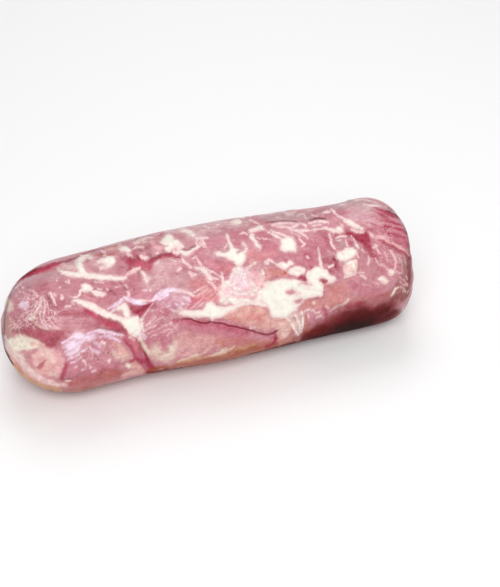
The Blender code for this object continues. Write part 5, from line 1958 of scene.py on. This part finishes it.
def low_relief(points, marks):
    """How far fat, film and the skin's own unevenness stand out."""
    fat = FAT_RISE * smooth_step(*FAT_RISES_OVER, marks["fat"])
    return fat + FILM_RISE * marks["film"] + UNEVEN_SKIN * noise(points, "uneven skin")


def add_attribute(mesh, name, kind, values):
    key = {"FLOAT": "value", "FLOAT_VECTOR": "vector", "FLOAT_COLOR": "color"}[kind]
    layer = mesh.attributes.new(name, kind, "POINT")
    layer.data.foreach_set(key, np.ascontiguousarray(values, np.float32).ravel())


def pork_cut():
    """The one visible piece: the fine skin with its marks and relief."""
    body, quads, out, fade = body_form()
    marks = skin_marks(body, quads)
    shaped = body + out * (low_relief(body, marks) * fade)[:, None]
    shaped[:, 2] = np.maximum(shaped[:, 2], 0)
    gloss = smooth_step(*GLOSS_OVER, marks["colour"].mean(axis=1))

    mesh = bpy.data.meshes.new("raw pork cut")
    mesh.from_pydata(shaped.tolist(), [], quads.tolist())
    mesh.shade_smooth()
    opaque = np.ones((len(body), 1))
    add_attribute(mesh, "tint", "FLOAT_COLOR", np.concatenate([marks["colour"], opaque], axis=1))
    for name in ("film", "fat", "seam", "near_seam"):
        add_attribute(mesh, name, "FLOAT", marks[name])
    add_attribute(mesh, "web", "FLOAT", marks["web"] * gloss)
    add_attribute(mesh, "gloss", "FLOAT", gloss)
    add_attribute(mesh, "grain", "FLOAT_VECTOR", grain_places(body))
    mesh.materials.append(meat_material())
    cut = bpy.data.objects.new("raw_pork_cut", mesh)
    bpy.context.scene.collection.objects.link(cut)
    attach(cut, "root")
    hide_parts(NODE)


def plain_material(name, colour, roughness):
    material = bpy.data.materials.new(name)
    material.use_nodes = True
    shader = material.node_tree.nodes["Principled BSDF"]
    shader.inputs["Base Color"].default_value = colour
    shader.inputs["Roughness"].default_value = roughness
    return material


def floor():
    """A pale sheet just below the cut."""
    reach = FLOOR_REACH
    corners = [(-reach, -reach, 0), (reach, -reach, 0), (reach, reach, 0), (-reach, reach, 0)]
    mesh = bpy.data.meshes.new("floor")
    mesh.from_pydata(corners, [], [(0, 1, 2, 3)])
    mesh.materials.append(plain_material("pale floor", FLOOR_COLOUR, FLOOR_ROUGHNESS))
    sheet = bpy.data.objects.new("floor", mesh)
    sheet.location.z = -FLOOR_DROP
    bpy.context.scene.collection.objects.link(sheet)


def soft_light(name, place, size, power):
    data = bpy.data.lights.new(name, "AREA")
    data.size = size
    data.energy = power
    light = bpy.data.objects.new(name, data)
    light.location = place
    light.rotation_euler = (Vector(LIT_POINT) - Vector(place)).to_track_quat("-Z", "Y").to_euler()
    bpy.context.scene.collection.objects.link(light)


def studio():
    """Soft light from all round, and three soft lights."""
    world = bpy.data.worlds.new("soft studio")
    world.use_nodes = True
    background = world.node_tree.nodes["Background"]
    background.inputs["Color"].default_value = (1, 1, 1, 1)
    background.inputs["Strength"].default_value = WORLD_STRENGTH
    bpy.context.scene.world = world
    bpy.context.scene.view_settings.view_transform = "Standard"
    for name, (place, size, power) in LIGHTS.items():
        soft_light(name, place, size, power)


def camera():
    """The photograph's own view."""
    right, top, back = camera_axes()
    data = bpy.data.cameras.new("camera")
    data.lens = LENS_MM
    data.sensor_width = SENSOR_MM
    eye = np.array(AIM) + back * DISTANCE
    viewer = bpy.data.objects.new("camera", data)
    rows = [[right[i], top[i], back[i], eye[i]] for i in range(3)] + [[0, 0, 0, 1]]
    viewer.matrix_world = Matrix(rows)
    bpy.context.scene.collection.objects.link(viewer)
    bpy.context.scene.camera = viewer


camera()
pork_cut()
floor()
studio()
